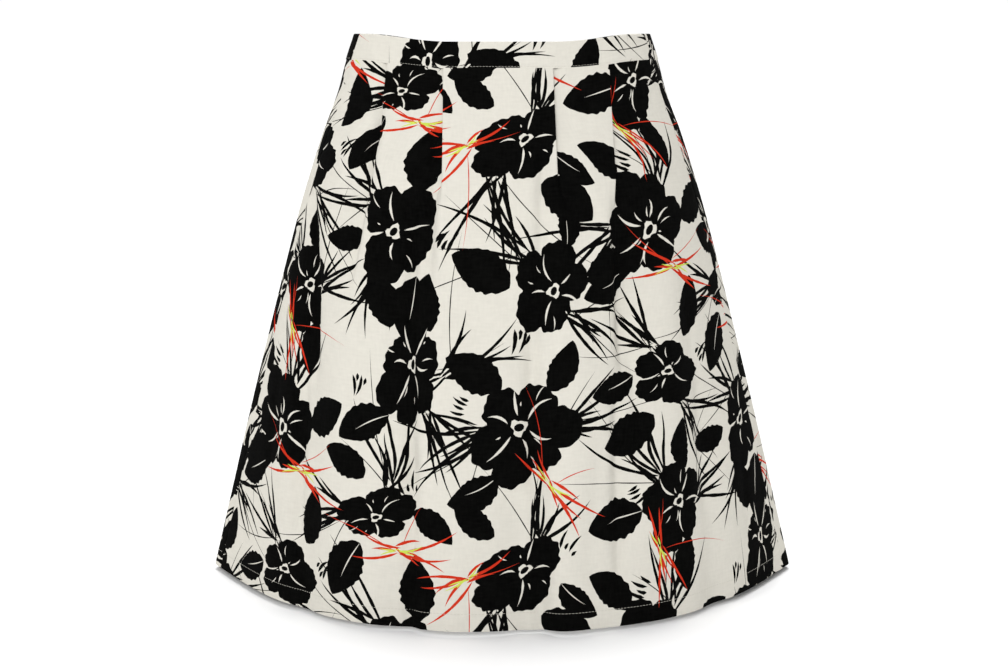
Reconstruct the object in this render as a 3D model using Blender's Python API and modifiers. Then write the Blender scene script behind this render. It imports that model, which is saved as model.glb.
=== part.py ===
"""A-line skirt, filled out as when worn: waistband, pleated front, two backs and a zip.

The cloth is a hollow tube. Every level of it is a ring worked out from the outline table, and
the pleats and folds are moves of that ring outwards or inwards. Metres, +Z up, the front faces
-Y, and the origin is the middle of the waist opening, level with the top edge at the sides.
"""
import functools
import math
from collections import namedtuple

import bmesh
import bpy
import numpy as np

# Driving sizes
SKIRT_LENGTH = 0.551
BAND_HEIGHT = 0.025
BAND_THICKNESS = 0.0028
CLOTH_THICKNESS = 0.0012
HEM_DEPTH = 0.0165
HEM_THICKNESS = 0.0023
SEAM_GAP = 0.0003
SEAM_FORWARD = 0.0075       # how far inside the widest line the side seams lie
FRONT_DIP = 0.0073          # how far the top edge drops at centre front
BACK_DIP = 0.0100
DIP_FADES_AT = 0.140        # the drop below the waist where the dip has gone
DIP_SHARES = (0.35, 0.95)   # between these shares of the half width the dip fades out
SIDE_ROUNDING = 0.008       # half the length over which the sides are rounded

# The rings: how deep below the top edge, half width, half depth, and how lens-like
Level = namedtuple("Level", "drop half_width half_depth pinch")
OUTLINE = (
    Level(0.000, 0.1465, 0.100, 0.00),
    Level(0.028, 0.1560, 0.107, 0.02),
    Level(0.055, 0.1635, 0.114, 0.05),
    Level(0.095, 0.1790, 0.126, 0.12),
    Level(0.136, 0.1930, 0.136, 0.20),
    Level(0.176, 0.2055, 0.145, 0.28),
    Level(0.217, 0.2170, 0.153, 0.36),
    Level(0.301, 0.2395, 0.168, 0.50),
    Level(0.385, 0.2615, 0.182, 0.66),
    Level(0.471, 0.2830, 0.196, 0.80),
    Level(0.551, 0.3030, 0.208, 0.95),
)

# The knife pleats: their edges face the side seams, and open below the release
Pleat = namedtuple("Pleat", "side x_at_band x_at_release x_at_end overlap release end")
PLEATS = (
    Pleat(-1, 0.055, 0.056, 0.059, 0.0110, 0.126, 0.310),
    Pleat(-1, 0.109, 0.121, 0.150, 0.0110, 0.106, 0.290),
    Pleat(+1, 0.048, 0.052, 0.057, 0.0110, 0.126, 0.310),
    Pleat(+1, 0.102, 0.108, 0.108, 0.0110, 0.132, 0.330),
)
PITCH_AT_BAND = 0.0015      # from one layer of a pleat to the next
PITCH_BELOW = 0.0021
LIFT_AT_BAND = 0.0007       # brings the front's face level with the band's
PLEAT_TURN_STEPS = 3        # sides of each half-round turn
PLEAT_KEEPS = 0.4           # the share of the way to its release with its full overlap
PLEAT_OPENS = 0.045         # the length below the release over which it opens
PLEAT_VALLEY = 0.0070       # depth of the soft valley that an open pleat becomes
VALLEY_HOLDS = 0.030        # how far below the release the valley keeps its depth
PLEAT_SPREAD = 0.016        # width of the open step
RECOVERY_AT_BAND = 0.012    # width over which the cloth beyond a pleat comes back out
RECOVERY_BELOW = 0.036
SETTLES_AT = 0.090          # the drop where the pleats have settled to the lower values

# The soft folds: positive is a ridge, negative a trough; x and drop of both ends
Fold = namedtuple("Fold", "x_from x_to drop_from drop_to height half_width")
FRONT_FOLDS = (
    Fold(-0.098, -0.094, 0.110, 0.440, -0.0060, 0.016),
    Fold(-0.185, -0.200, 0.160, 0.700, -0.0060, 0.022),
    Fold(-0.098, -0.102, 0.420, 0.700, -0.0050, 0.016),
    Fold(0.006, 0.018, 0.300, 0.700, -0.0060, 0.022),
    Fold(0.122, 0.116, 0.150, 0.520, -0.0065, 0.017),
    Fold(0.196, 0.222, 0.300, 0.700, -0.0060, 0.022),
    Fold(-0.150, -0.158, 0.220, 0.560, 0.0040, 0.020),
    Fold(-0.046, -0.050, 0.230, 0.700, 0.0035, 0.022),
    Fold(0.070, 0.062, 0.200, 0.700, 0.0045, 0.021),
    Fold(0.158, 0.168, 0.160, 0.440, 0.0040, 0.018),
)
BACK_FOLDS = (
    Fold(-0.082, -0.098, 0.130, 0.700, -0.0060, 0.022),
    Fold(-0.178, -0.212, 0.220, 0.700, -0.0055, 0.020),
    Fold(0.090, 0.084, 0.160, 0.520, -0.0055, 0.019),
    Fold(0.150, 0.186, 0.240, 0.700, -0.0065, 0.023),
    Fold(0.020, 0.034, 0.330, 0.700, -0.0045, 0.020),
    Fold(-0.040, -0.050, 0.240, 0.700, 0.0040, 0.021),
    Fold(0.128, 0.140, 0.180, 0.600, 0.0040, 0.020),
)
FOLD_FADE = 0.090           # the length over which a fold starts or ends

# How finely the solids are cut
RING_STEPS = 720
FLARE_REACH = 0.002         # how far above and below a level its flare is measured
BAND_LEVELS = (0.0, 0.0085, 0.0170, 0.0250)
BAND_EDGE = 0.0007          # rounding of the band's edges
PANEL_LEVELS = (0.0253, 0.034, 0.046, 0.062, 0.080, 0.100, 0.120, 0.140, 0.160, 0.185, 0.212,
                0.245, 0.280, 0.320, 0.365, 0.410, 0.455, 0.500, 0.5335, 0.5345, 0.551)
COLUMNS_CENTRE = 4          # between centre front and the first pleat
COLUMNS_BETWEEN = 4         # between the pleats
COLUMNS_SIDE = 6            # from the last pleat to the side seam
COLUMNS_BACK = 22
COLUMNS_BAND_FRONT = 36
COLUMNS_BAND_BACK = 20
COLUMNS_TAPE = 6

# The zip
ZIP_TOP = 0.004             # how far below the band's top edge the tape starts
ZIP_LENGTH = 0.191
ZIP_TAPE_WIDTH = 0.024
ZIP_TAPE_THICKNESS = 0.0010
TAPE_STEPS_BACK = (0.001, 0.006)    # below the band, where the tape moves to the thinner wall
SLIDER_DROP = 0.0110        # the hinge of the pull below the band's top edge
SLIDER_SIZE = (0.0046, 0.0090, 0.0012)
SLIDER_REACH = 0.004        # half the length over which the band's lean is measured
ARCH_REACH = 0.0028         # how far the slider's arch stands off its plate
ARCH_SPAN = 0.0050
ARCH_WIRE = 0.0005
PULL_LENGTH = 0.0230
PULL_WIDTH = 0.0072
PULL_THICKNESS = 0.0010
PULL_NECK = 0.0042
EYE_LENGTH = 0.0042
EYE_WIDTH = 0.0022
EYE_BAR = 0.0010
PULL_SETTLE = math.radians(5.0)     # how far the tab leans back to lie on the cloth

CREAM = (0.80, 0.77, 0.68)
BAND_CREAM = (0.78, 0.75, 0.66)
BACK_CREAM = (0.76, 0.73, 0.64)
TAPE_COLOUR = (0.62, 0.60, 0.53)
METAL = (0.72, 0.70, 0.66)


def clear_scene():
    for thing in list(bpy.data.objects):
        bpy.data.objects.remove(thing, do_unlink=True)


def material(name, colour, roughness, metallic=0.0):
    made = bpy.data.materials.new(name)
    made.use_nodes = True
    shader = made.node_tree.nodes["Principled BSDF"]
    shader.inputs["Base Color"].default_value = (*colour, 1.0)
    shader.inputs["Roughness"].default_value = roughness
    shader.inputs["Metallic"].default_value = metallic
    made.diffuse_color = (*colour, 1.0)
    return made


def ease(value, low, high):
    """0 below low, 1 above high, and a smooth step between."""
    t = np.clip((value - low) / (high - low), 0.0, 1.0)
    return t * t * (3.0 - 2.0 * t)


def outline(drop):
    """Half width, half depth and pinch at a drop: a smooth curve through the table's rows."""
    table = np.array(OUTLINE)
    drops, sizes = table[:, 0], table[:, 1:]
    row = min(max(int(np.searchsorted(drops, drop)) - 1, 0), len(drops) - 2)
    span = drops[row + 1] - drops[row]
    t = (drop - drops[row]) / span
    slopes = np.gradient(sizes, drops, axis=0) * span
    return (
        sizes[row] * (1 + 2 * t) * (1 - t) ** 2
        + slopes[row] * t * (1 - t) ** 2
        + sizes[row + 1] * t * t * (3 - 2 * t)
        - slopes[row + 1] * t * t * (1 - t)
    )


@functools.lru_cache(maxsize=None)
def ring(drop):
    """The cloth's middle line at one level, from centre back round the front and back again.

    x is the half width times the sine of the turn, y the half depth times its cosine, and the
    pinch draws the sides together. The points are spaced evenly and the sides rounded.
    """
    half_width, half_depth, pinch = outline(drop)
    turn = np.linspace(-math.pi, math.pi, 4 * RING_STEPS + 1)
    cosine = np.cos(turn)
    x = half_width * np.sin(turn)
    y = -half_depth * np.sign(cosine) * np.abs(cosine) ** (1.0 + pinch * np.sin(turn) ** 2)
    way = np.append(0.0, np.cumsum(np.hypot(np.diff(x), np.diff(y))))
    even = np.linspace(0.0, way[-1], RING_STEPS + 1)[:-1]
    x, y = np.interp(even, way, x), np.interp(even, way, y)
    reach = max(int(SIDE_ROUNDING / (way[-1] / RING_STEPS)), 1)
    x = sum(np.roll(x, shift) for shift in range(-reach, reach + 1)) / (2 * reach + 1)
    y = sum(np.roll(y, shift) for shift in range(-reach, reach + 1)) / (2 * reach + 1)
    x *= half_width / x.max()
    x, y = np.append(x, x[0]), np.append(y, y[0])
    way = np.append(0.0, np.cumsum(np.hypot(np.diff(x), np.diff(y))))
    return x, y, way - way[-1] / 2


def across(drop, x, back=False):
    """The place along the ring, from centre front, of a point x to the side."""
    ring_x, _, way = ring(drop)
    widest = int(np.argmax(ring_x))
    centre = len(way) // 2
    if back:
        side = np.interp(abs(x), ring_x[widest:][::-1], way[widest:][::-1])
    else:
        side = np.interp(abs(x), ring_x[centre:widest + 1], way[centre:widest + 1])
    return math.copysign(side, x)


def seam_place(drop):
    return across(drop, outline(drop)[0] - SEAM_FORWARD)


def dip(x, half_width, y):
    """How far the top edge sinks in the middle third of the front and of the back."""
    depth = np.where(y < 0.0, FRONT_DIP, BACK_DIP)
    return depth * (1.0 - ease(np.abs(x) / half_width, *DIP_SHARES))


def on_ring(drop, place):
    """Points x, y at places along one ring, and the directions that point out of it there."""
    ring_x, ring_y, way = ring(drop)
    place = (np.asarray(place) - way[0]) % (way[-1] - way[0]) + way[0]
    point = np.stack([np.interp(place, way, line) for line in (ring_x, ring_y)], -1)
    slope = [np.interp(place, way, np.gradient(line, way)) for line in (ring_y, ring_x)]
    outwards = np.stack((slope[0], -slope[1]), -1)
    return point, outwards / np.linalg.norm(outwards, axis=-1, keepdims=True)


def stand(drop, place, offset):
    """Points at places along one ring, moved by offset square to the flaring cloth."""
    point, outwards = on_ring(drop, place)
    flare = on_ring(drop + FLARE_REACH, place)[0] - on_ring(drop - FLARE_REACH, place)[0]
    flare = (flare * outwards).sum(-1) / (2 * FLARE_REACH)
    level = np.asarray(offset) / np.hypot(1.0, flare)
    sink = dip(point[:, 0], outline(drop)[0], point[:, 1])
    sink = sink * (1.0 - ease(drop, 0.0, DIP_FADES_AT))
    flat = point + level[:, None] * outwards
    return np.stack((flat[:, 0], flat[:, 1], level * flare - drop - sink), -1)


def fold_height(folds, drop, place, back=False):
    """The soft folds: bell-shaped ridges and troughs that lean and fade with the drop."""
    total = np.zeros_like(place)
    for fold in folds:
        share = (drop - fold.drop_from) / (fold.drop_to - fold.drop_from)
        line = across(drop, fold.x_from + (fold.x_to - fold.x_from) * share, back)
        fade = ease(drop, fold.drop_from, fold.drop_from + FOLD_FADE)
        fade *= 1.0 - ease(drop, fold.drop_to - FOLD_FADE, fold.drop_to)
        total += fold.height * fade * np.exp(-((place - line) / fold.half_width) ** 2)
    return total


def settled(drop, at_band, below):
    """A value that goes from one at the band to another where the pleats have settled."""
    return at_band + (below - at_band) * ease(drop, BAND_HEIGHT, SETTLES_AT)


def pleat_shape(drop, pleat):
    """One pleat's section: places beyond its edge, and offsets.

    Above the release it is a Z of three layers joined by half-round turns. Below it the Z
    opens into a soft step, which fades out at the end.
    """
    radius = settled(drop, PITCH_AT_BAND, PITCH_BELOW) / 2
    loosens = BAND_HEIGHT + PLEAT_KEEPS * (pleat.release - BAND_HEIGHT)
    kept = pleat.overlap * (1.0 - ease(drop, loosens, pleat.release))
    turn = np.linspace(0.5 * math.pi, -0.5 * math.pi, PLEAT_TURN_STEPS + 1)
    upper = np.stack((np.cos(turn) - 1.0, np.sin(turn) - 1.0), -1) * radius
    lower = np.stack((-np.cos(turn) - 1.0, np.sin(turn) - 3.0), -1) * radius - (kept, 0.0)
    folded = np.concatenate((upper, lower))
    share = np.linspace(0.0, 1.0, len(folded))
    depth = PLEAT_VALLEY * (1.0 - ease(drop, pleat.release + VALLEY_HOLDS, pleat.end))
    opened = np.stack((share * PLEAT_SPREAD - radius, -depth * ease(share, 0.0, 1.0)), -1)
    open_share = ease(drop, pleat.release, pleat.release + PLEAT_OPENS)
    section = folded * (1.0 - open_share) + opened * open_share
    return section[:, 0], section[:, 1]


def pleat_edge(drop, pleat):
    """Where along the ring the pleat's edge lies: straight lines between its three rows of x."""
    drops = (BAND_HEIGHT, pleat.release, pleat.end, SKIRT_LENGTH)
    lines = (pleat.x_at_band, pleat.x_at_release, pleat.x_at_end, pleat.x_at_end)
    return across(drop, float(np.interp(drop, drops, lines)))


def recovery(drop, beyond, depth):
    """The cloth beyond a pleat comes back out to the ring over a short width."""
    return depth * (1.0 - ease(beyond, 0.0, settled(drop, RECOVERY_AT_BAND, RECOVERY_BELOW)))


def front_half(drop, side):
    """Places and offsets from centre front to one side seam, at one level."""
    half_seam = seam_place(drop) - SEAM_GAP / 2
    places, offsets = [0.0], [0.0]
    steps = COLUMNS_CENTRE
    last_depth, last_place = 0.0, -1.0
    for pleat in (pleat for pleat in PLEATS if pleat.side == side):
        edge = pleat_edge(drop, pleat)
        beyond, inwards = pleat_shape(drop, pleat)
        run = np.linspace(places[-1], edge + beyond[0], steps + 1)[1:-1]
        places += list(run)
        offsets += list(recovery(drop, run - last_place, last_depth))
        carried = recovery(drop, edge - last_place, last_depth)
        places += list(edge + beyond)
        offsets += list(inwards + carried)
        last_depth, last_place = offsets[-1], max(edge, places[-1])
        steps = COLUMNS_BETWEEN
    run = np.linspace(last_place, half_seam, COLUMNS_SIDE + 1)[1:]
    places += list(run)
    offsets += list(recovery(drop, run - last_place, last_depth))
    return side * np.array(places), np.array(offsets)


def hem_shift(drop):
    """The turned-up hem thickens the wall inwards only, so its middle moves in."""
    return -(HEM_THICKNESS - CLOTH_THICKNESS) / 2 * (drop > SKIRT_LENGTH - HEM_DEPTH)


def front_surface():
    rows = []
    for drop in PANEL_LEVELS:
        left_places, left_offsets = front_half(drop, -1)
        right_places, right_offsets = front_half(drop, +1)
        places = np.concatenate((left_places[:0:-1], right_places))
        offsets = np.concatenate((left_offsets[:0:-1], right_offsets))
        offsets = offsets + fold_height(FRONT_FOLDS, drop, places) + hem_shift(drop)
        rows.append(stand(drop, places, offsets + settled(drop, LIFT_AT_BAND, 0.0)))
    return np.array(rows)


def back_surface(side):
    """One back, from its side seam to the centre-back seam."""
    rows = []
    for drop in PANEL_LEVELS:
        half_ring = ring(drop)[2][-1]
        start = seam_place(drop) + SEAM_GAP / 2
        places = side * np.linspace(start, half_ring - SEAM_GAP / 2, COLUMNS_BACK + 1)
        offsets = fold_height(BACK_FOLDS, drop, places, back=True) + hem_shift(drop)
        rows.append(stand(drop, places if side > 0 else places[::-1], offsets[::side]))
    return np.array(rows)


def band_surface(start_share, end_share, columns):
    """A stretch of waistband between two places: 0 is centre front, 1 a side seam, 2 the back."""
    rows = []
    for drop in BAND_LEVELS:
        shares = np.array((-2.0, -1.0, 0.0, 1.0, 2.0))
        seam, back = seam_place(drop), ring(drop)[2][-1]
        knots = np.array((-back, -seam, 0.0, seam, back))
        start, end = np.interp((start_share, end_share), shares, knots)
        places = np.linspace(start + SEAM_GAP / 2, end - SEAM_GAP / 2, columns + 1)
        rows.append(stand(drop, places, 0.0))
    return np.array(rows)


def tape_surface():
    """The zip's tape follows the inner faces of the band and of the backs."""
    rows = []
    behind_band = -BAND_THICKNESS / 2 - SEAM_GAP - ZIP_TAPE_THICKNESS / 2
    behind_cloth = -CLOTH_THICKNESS / 2 - SEAM_GAP - ZIP_TAPE_THICKNESS / 2
    steps_back = [BAND_HEIGHT + below for below in TAPE_STEPS_BACK]
    for drop in (ZIP_TOP, BAND_HEIGHT / 2, *steps_back, *PANEL_LEVELS[2:9], ZIP_TOP + ZIP_LENGTH):
        half_ring = ring(drop)[2][-1]
        places = half_ring + np.linspace(-0.5, 0.5, COLUMNS_TAPE + 1) * ZIP_TAPE_WIDTH
        offset = behind_band if drop < steps_back[1] else behind_cloth
        wrapped = np.where(places > half_ring, places - 2 * half_ring, places)
        folds = fold_height(BACK_FOLDS, drop, wrapped, back=True)
        rows.append(stand(drop, places, offset + folds))
    return np.array(rows)


def sheet(name, points, thickness, finish, home, hem=False):
    """A cloth piece: a loft through rows of points, with a wall from Solidify."""
    rows, columns = points.shape[:2]
    index = np.arange(rows * columns).reshape(rows, columns)
    corners = (index[1:, :-1], index[1:, 1:], index[:-1, 1:], index[:-1, :-1])
    faces = np.stack(corners, -1).reshape(-1, 4)
    mesh = bpy.data.meshes.new(name)
    mesh.from_pydata(points.reshape(-1, 3).tolist(), [], faces.tolist())
    mesh.shade_smooth()
    piece = bpy.data.objects.new(name, mesh)
    mesh.materials.append(finish)
    home.objects.link(piece)
    wall = piece.modifiers.new("wall", "SOLIDIFY")
    wall.thickness = thickness
    wall.offset = 0.0
    if hem:
        group = piece.vertex_groups.new(name="hem")
        turned_up = np.array(PANEL_LEVELS) > SKIRT_LENGTH - HEM_DEPTH
        group.add(index[turned_up].ravel().tolist(), 1.0, "REPLACE")
        wall.thickness = HEM_THICKNESS
        wall.vertex_group = group.name
        wall.thickness_vertex_group = thickness / HEM_THICKNESS
    return piece


def round_edges(piece, width):
    bevel = piece.modifiers.new("rounded edges", "BEVEL")
    bevel.width = width
    bevel.segments = 2
    bevel.limit_method = "ANGLE"
    bevel.angle_limit = math.radians(60)
    return piece


def hinge_place():
    """The pull's axis on the outside of the band at centre back, and the lean of the band."""
    drops = (SLIDER_DROP - SLIDER_REACH, SLIDER_DROP + SLIDER_REACH)
    above, below = (stand(drop, [ring(drop)[2][-1]], BAND_THICKNESS / 2)[0] for drop in drops)
    face = (above + below) / 2
    lean = math.atan2(below[1] - above[1], above[2] - below[2])
    out = SEAM_GAP + SLIDER_SIZE[2] + ARCH_REACH / 2
    return face + out * np.array((0.0, math.cos(lean), math.sin(lean))), lean


def zip_slider(finish, home, axis, lean):
    """A flat plate with a wire arch over it; local Y points away from the cloth."""
    mesh = bpy.data.meshes.new("zip_slider")
    bm = bmesh.new()
    plate = bmesh.ops.create_cube(bm, size=1.0)["verts"]
    width, height, thickness = SLIDER_SIZE
    bmesh.ops.scale(bm, verts=plate, vec=(width, thickness, height))
    bmesh.ops.translate(bm, verts=plate, vec=(0.0, -ARCH_REACH / 2 - thickness / 2, 0.0))
    bm.to_mesh(mesh)
    bm.free()
    mesh.materials.append(finish)
    plate = bpy.data.objects.new("zip_slider", mesh)
    home.objects.link(plate)

    path = bpy.data.curves.new("arch", "CURVE")
    path.dimensions = "3D"
    path.bevel_depth = ARCH_WIRE
    path.bevel_resolution = 1
    path.use_fill_caps = True
    angles = np.linspace(0.0, math.pi, 9)
    spline = path.splines.new("POLY")
    foot = -ARCH_REACH / 2 - SLIDER_SIZE[2] / 2
    route = [(0.0, foot, ARCH_SPAN / 2)]
    route += [(0.0, ARCH_REACH * (math.sin(a) - 0.5), ARCH_SPAN / 2 * math.cos(a)) for a in angles]
    route += [(0.0, foot, -ARCH_SPAN / 2)]
    spline.points.add(len(route) - 1)
    for point, place in zip(spline.points, route):
        point.co = (*place, 1.0)
    arch = bpy.data.objects.new("arch", path)
    home.objects.link(arch)
    bpy.context.view_layer.update()
    shaped = arch.evaluated_get(bpy.context.evaluated_depsgraph_get())
    wire = bpy.data.meshes.new_from_object(shaped)
    bpy.data.objects.remove(arch)
    bm = bmesh.new()
    bm.from_mesh(wire)
    bmesh.ops.remove_doubles(bm, verts=bm.verts, dist=0.00001)
    bm.to_mesh(wire)
    bm.free()
    cutter = bpy.data.objects.new("slider_arch", wire)
    cutter.hide_render = True
    cutter.display_type = "WIRE"
    cutters = bpy.data.collections.new("cutters")
    bpy.context.scene.collection.children.link(cutters)
    cutters.objects.link(cutter)
    join = plate.modifiers.new("arch", "BOOLEAN")
    join.operation = "UNION"
    join.object = cutter
    for piece in (plate, cutter):
        piece.location = axis
        piece.rotation_euler = (lean, 0.0, 0.0)
    return plate


def zip_pull(finish, home, axis, lean):
    """A tear-drop tab with an oblong eye; its bar lies under the arch, on the axis."""
    flat = bpy.data.curves.new("zip_pull", "CURVE")
    flat.dimensions = "2D"
    flat.fill_mode = "BOTH"
    flat.extrude = PULL_THICKNESS / 2
    top, eye_top = EYE_BAR / 2, -EYE_BAR / 2
    eye_bottom = eye_top - EYE_LENGTH
    radius, neck, half_eye = PULL_WIDTH / 2, PULL_NECK / 2, EYE_WIDTH / 2
    middle = top - PULL_LENGTH + radius
    angles = np.linspace(math.radians(-200), math.radians(20), 13)
    outer = [(radius * math.cos(a), middle + radius * math.sin(a)) for a in angles]
    outer += [(neck, eye_bottom), (neck, top), (-neck, top), (-neck, eye_bottom)]
    eye = [(-half_eye, eye_bottom), (half_eye, eye_bottom), (half_eye, eye_top),
           (-half_eye, eye_top)]
    for outline_points in (outer, eye):
        spline = flat.splines.new("POLY")
        spline.points.add(len(outline_points) - 1)
        spline.use_cyclic_u = True
        for point, place in zip(spline.points, outline_points):
            point.co = (*place, 0.0, 1.0)
    flat.materials.append(finish)
    tab = bpy.data.objects.new("zip_pull", flat)
    home.objects.link(tab)
    tab.location = axis
    tab.rotation_euler = (math.pi / 2 + lean - PULL_SETTLE, 0.0, 0.0)
    return tab


def build():
    clear_scene()
    home = bpy.data.collections.new("a_line_skirt")
    bpy.context.scene.collection.children.link(home)
    print_cloth = material("front_cloth", CREAM, 0.85)
    back_cloth = material("back_cloth", BACK_CREAM, 0.85)
    band_cloth = material("band_cloth", BAND_CREAM, 0.85)
    tape = material("tape", TAPE_COLOUR, 0.7)
    metal = material("metal", METAL, 0.35, 1.0)
    sheet("front_panel", front_surface(), CLOTH_THICKNESS, print_cloth, home, hem=True)
    sheet("back_left", back_surface(-1), CLOTH_THICKNESS, back_cloth, home, hem=True)
    sheet("back_right", back_surface(+1), CLOTH_THICKNESS, back_cloth, home, hem=True)
    bands = (
        ("waistband_front", -1.0, 1.0, COLUMNS_BAND_FRONT),
        ("waistband_back_left", -2.0, -1.0, COLUMNS_BAND_BACK),
        ("waistband_back_right", 1.0, 2.0, COLUMNS_BAND_BACK),
    )
    for name, start, end, columns in bands:
        band = sheet(name, band_surface(start, end, columns), BAND_THICKNESS, band_cloth, home)
        round_edges(band, BAND_EDGE)
    sheet("zip_tape", tape_surface(), ZIP_TAPE_THICKNESS, tape, home)
    axis, lean = hinge_place()
    zip_slider(metal, home, axis, lean)
    zip_pull(metal, home, axis, lean)


build()
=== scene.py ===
"""The finish of an A-line skirt in printed cotton: cloth, print, stitching, zip and studio.

The cloth lies on the skirt's form. Each level of the form is a ring, which pleats, folds and
creases move in or out. The way along the cloth is measured on each level, and the print is drawn
on the flat cloth, so a pleat or a seam cuts the print off as it does when cloth is folded.
Sizes are in metres, and a drop is measured down from the waistband's top edge.
"""
import functools
import math
from collections import namedtuple

import bpy
import numpy as np
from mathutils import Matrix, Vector
from mathutils.bvhtree import BVHTree
from mathutils.geometry import delaunay_2d_cdt


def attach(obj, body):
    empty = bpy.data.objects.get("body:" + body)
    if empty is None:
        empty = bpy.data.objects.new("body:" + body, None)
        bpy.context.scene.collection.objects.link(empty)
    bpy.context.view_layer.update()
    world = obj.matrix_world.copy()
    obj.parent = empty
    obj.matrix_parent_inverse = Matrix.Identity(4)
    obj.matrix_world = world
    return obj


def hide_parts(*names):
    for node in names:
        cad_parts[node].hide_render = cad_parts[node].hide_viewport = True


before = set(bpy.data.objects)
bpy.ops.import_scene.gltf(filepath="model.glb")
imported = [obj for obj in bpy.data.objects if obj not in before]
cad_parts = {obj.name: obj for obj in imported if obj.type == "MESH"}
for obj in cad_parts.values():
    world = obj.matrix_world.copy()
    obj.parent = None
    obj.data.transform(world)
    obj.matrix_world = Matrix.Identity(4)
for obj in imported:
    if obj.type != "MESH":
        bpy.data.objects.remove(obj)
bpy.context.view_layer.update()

bl_info = {
    "name": "Printed A-line skirt",
    "version": (1, 0, 0),
    "blender": (4, 5, 0),
    "location": "3D View > Sidebar > Skirt",
    "description": "Cloth, print, stitching, zip and studio for a pleated A-line skirt",
    "category": "Object",
}

BODY, PULL_BODY = "skirt", "pull"

# Each finish, by the name of its material
CLOTH, THREAD, TAPE = "printed cotton", "sewing thread", "woven tape"
COIL, METAL = "nylon coil", "satin metal"

# The form
SKIRT_LENGTH = 0.551
BAND_HEIGHT = 0.025
SEAM_GAP = 0.0003
SEAM_FORWARD = 0.0075
FRONT_DIP, BACK_DIP = 0.0073, 0.0100
DIP_FADES_AT = 0.140
DIP_SHARES = (0.35, 0.95)
SIDE_ROUNDING = 0.008
WALL, BAND_WALL = 0.0012, 0.0028    # the solids' cloth, whose outer face the finished cloth keeps
RING_STEPS = 720
FLARE_REACH = 0.002

Level = namedtuple("Level", "drop half_width half_depth pinch")
OUTLINE = (
    Level(0.000, 0.1465, 0.100, 0.00),
    Level(0.028, 0.1560, 0.107, 0.02),
    Level(0.055, 0.1635, 0.114, 0.05),
    Level(0.095, 0.1790, 0.126, 0.12),
    Level(0.136, 0.1930, 0.136, 0.20),
    Level(0.176, 0.2055, 0.145, 0.28),
    Level(0.217, 0.2170, 0.153, 0.36),
    Level(0.301, 0.2395, 0.168, 0.50),
    Level(0.385, 0.2615, 0.182, 0.66),
    Level(0.471, 0.2830, 0.196, 0.80),
    Level(0.551, 0.3030, 0.208, 0.95),
)

Pleat = namedtuple("Pleat", "side x_at_band x_at_release x_at_end overlap release end")
PLEATS = (
    Pleat(-1, 0.055, 0.056, 0.059, 0.0110, 0.126, 0.310),
    Pleat(-1, 0.109, 0.121, 0.150, 0.0110, 0.106, 0.290),
    Pleat(+1, 0.048, 0.052, 0.057, 0.0110, 0.126, 0.310),
    Pleat(+1, 0.102, 0.108, 0.108, 0.0110, 0.132, 0.330),
)
PLEATS_FADED = max(pleat.end for pleat in PLEATS)
PITCH_AT_BAND, PITCH_BELOW = 0.0015, 0.0021
LIFT_AT_BAND = 0.0007
PLEAT_KEEPS = 0.4
PLEAT_OPENS = 0.045
PLEAT_VALLEY = 0.0070
VALLEY_HOLDS = 0.030
PLEAT_SPREAD = 0.016
RECOVERY_AT_BAND, RECOVERY_BELOW = 0.012, 0.036
SETTLES_AT = 0.090

Fold = namedtuple("Fold", "x_from x_to drop_from drop_to height half_width")


def fold_table(*rows):
    """Folds from rows in millimetres, where ridges are positive and troughs negative."""
    return [Fold(*(size / 1000 for size in row)) for row in rows]


FRONT_FOLDS = fold_table(
    (-98, -94, 110, 440, -6, 16), (-185, -200, 160, 700, -6, 22), (-98, -102, 420, 700, -5, 16),
    (6, 18, 300, 700, -6, 22), (122, 116, 150, 520, -6.5, 17), (196, 222, 300, 700, -6, 22),
    (-150, -158, 220, 560, 4, 20), (-46, -50, 230, 700, 3.5, 22), (70, 62, 200, 700, 4.5, 21),
    (158, 168, 160, 440, 4, 18),
)
BACK_FOLDS = fold_table(
    (-82, -98, 130, 700, -6, 22), (-178, -212, 220, 700, -5.5, 20), (90, 84, 160, 520, -5.5, 19),
    (150, 186, 240, 700, -6.5, 23), (20, 34, 330, 700, -4.5, 20), (-40, -50, 240, 700, 4, 21),
    (128, 140, 180, 600, 4, 20),
)
FOLD_FADE = 0.090

# Small creases, which only the finished cloth has
FRONT_CREASES = fold_table(
    (-128, -118, 30, 110, -0.8, 4), (-86, -94, 45, 150, -1.1, 6), (-36, -30, 28, 120, -0.7, 5),
    (22, 12, 50, 190, -0.8, 7), (78, 84, 35, 125, -1, 5), (128, 138, 40, 130, -1, 6),
    (-150, -172, 120, 260, -1.3, 7), (-20, -28, 170, 300, -0.9, 6), (34, 50, 200, 330, -1.2, 8),
    (172, 190, 210, 340, -1.3, 7), (-222, -240, 330, 480, -1.3, 8), (-66, -58, 340, 470, -1.1, 7),
    (94, 80, 360, 520, -1.3, 9), (240, 252, 400, 520, -1.1, 7), (-140, -132, 420, 560, -1.1, 6),
    (160, 172, 440, 570, -1.2, 8), (-188, -186, 130, 350, -5, 8), (-197, -206, 310, 510, -5.2, 8),
    (-112, -150, 45, 250, -5, 6), (-61, -72, 70, 250, -3.2, 6), (-88, -86, 130, 430, -6, 7),
    (-85, -89, 370, 700, -6.2, 8), (40, 36, 80, 250, -4.8, 7), (31, 28, 210, 430, -6, 8),
    (34, 43, 360, 700, -7.4, 9), (108, 118, 130, 330, -6.8, 7), (124, 138, 260, 430, -4.8, 7),
    (110, 112, 320, 540, -4.6, 7), (190, 206, 300, 480, -2.6, 9), (22, 25, 250, 700, -3.8, 14),
)
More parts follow.
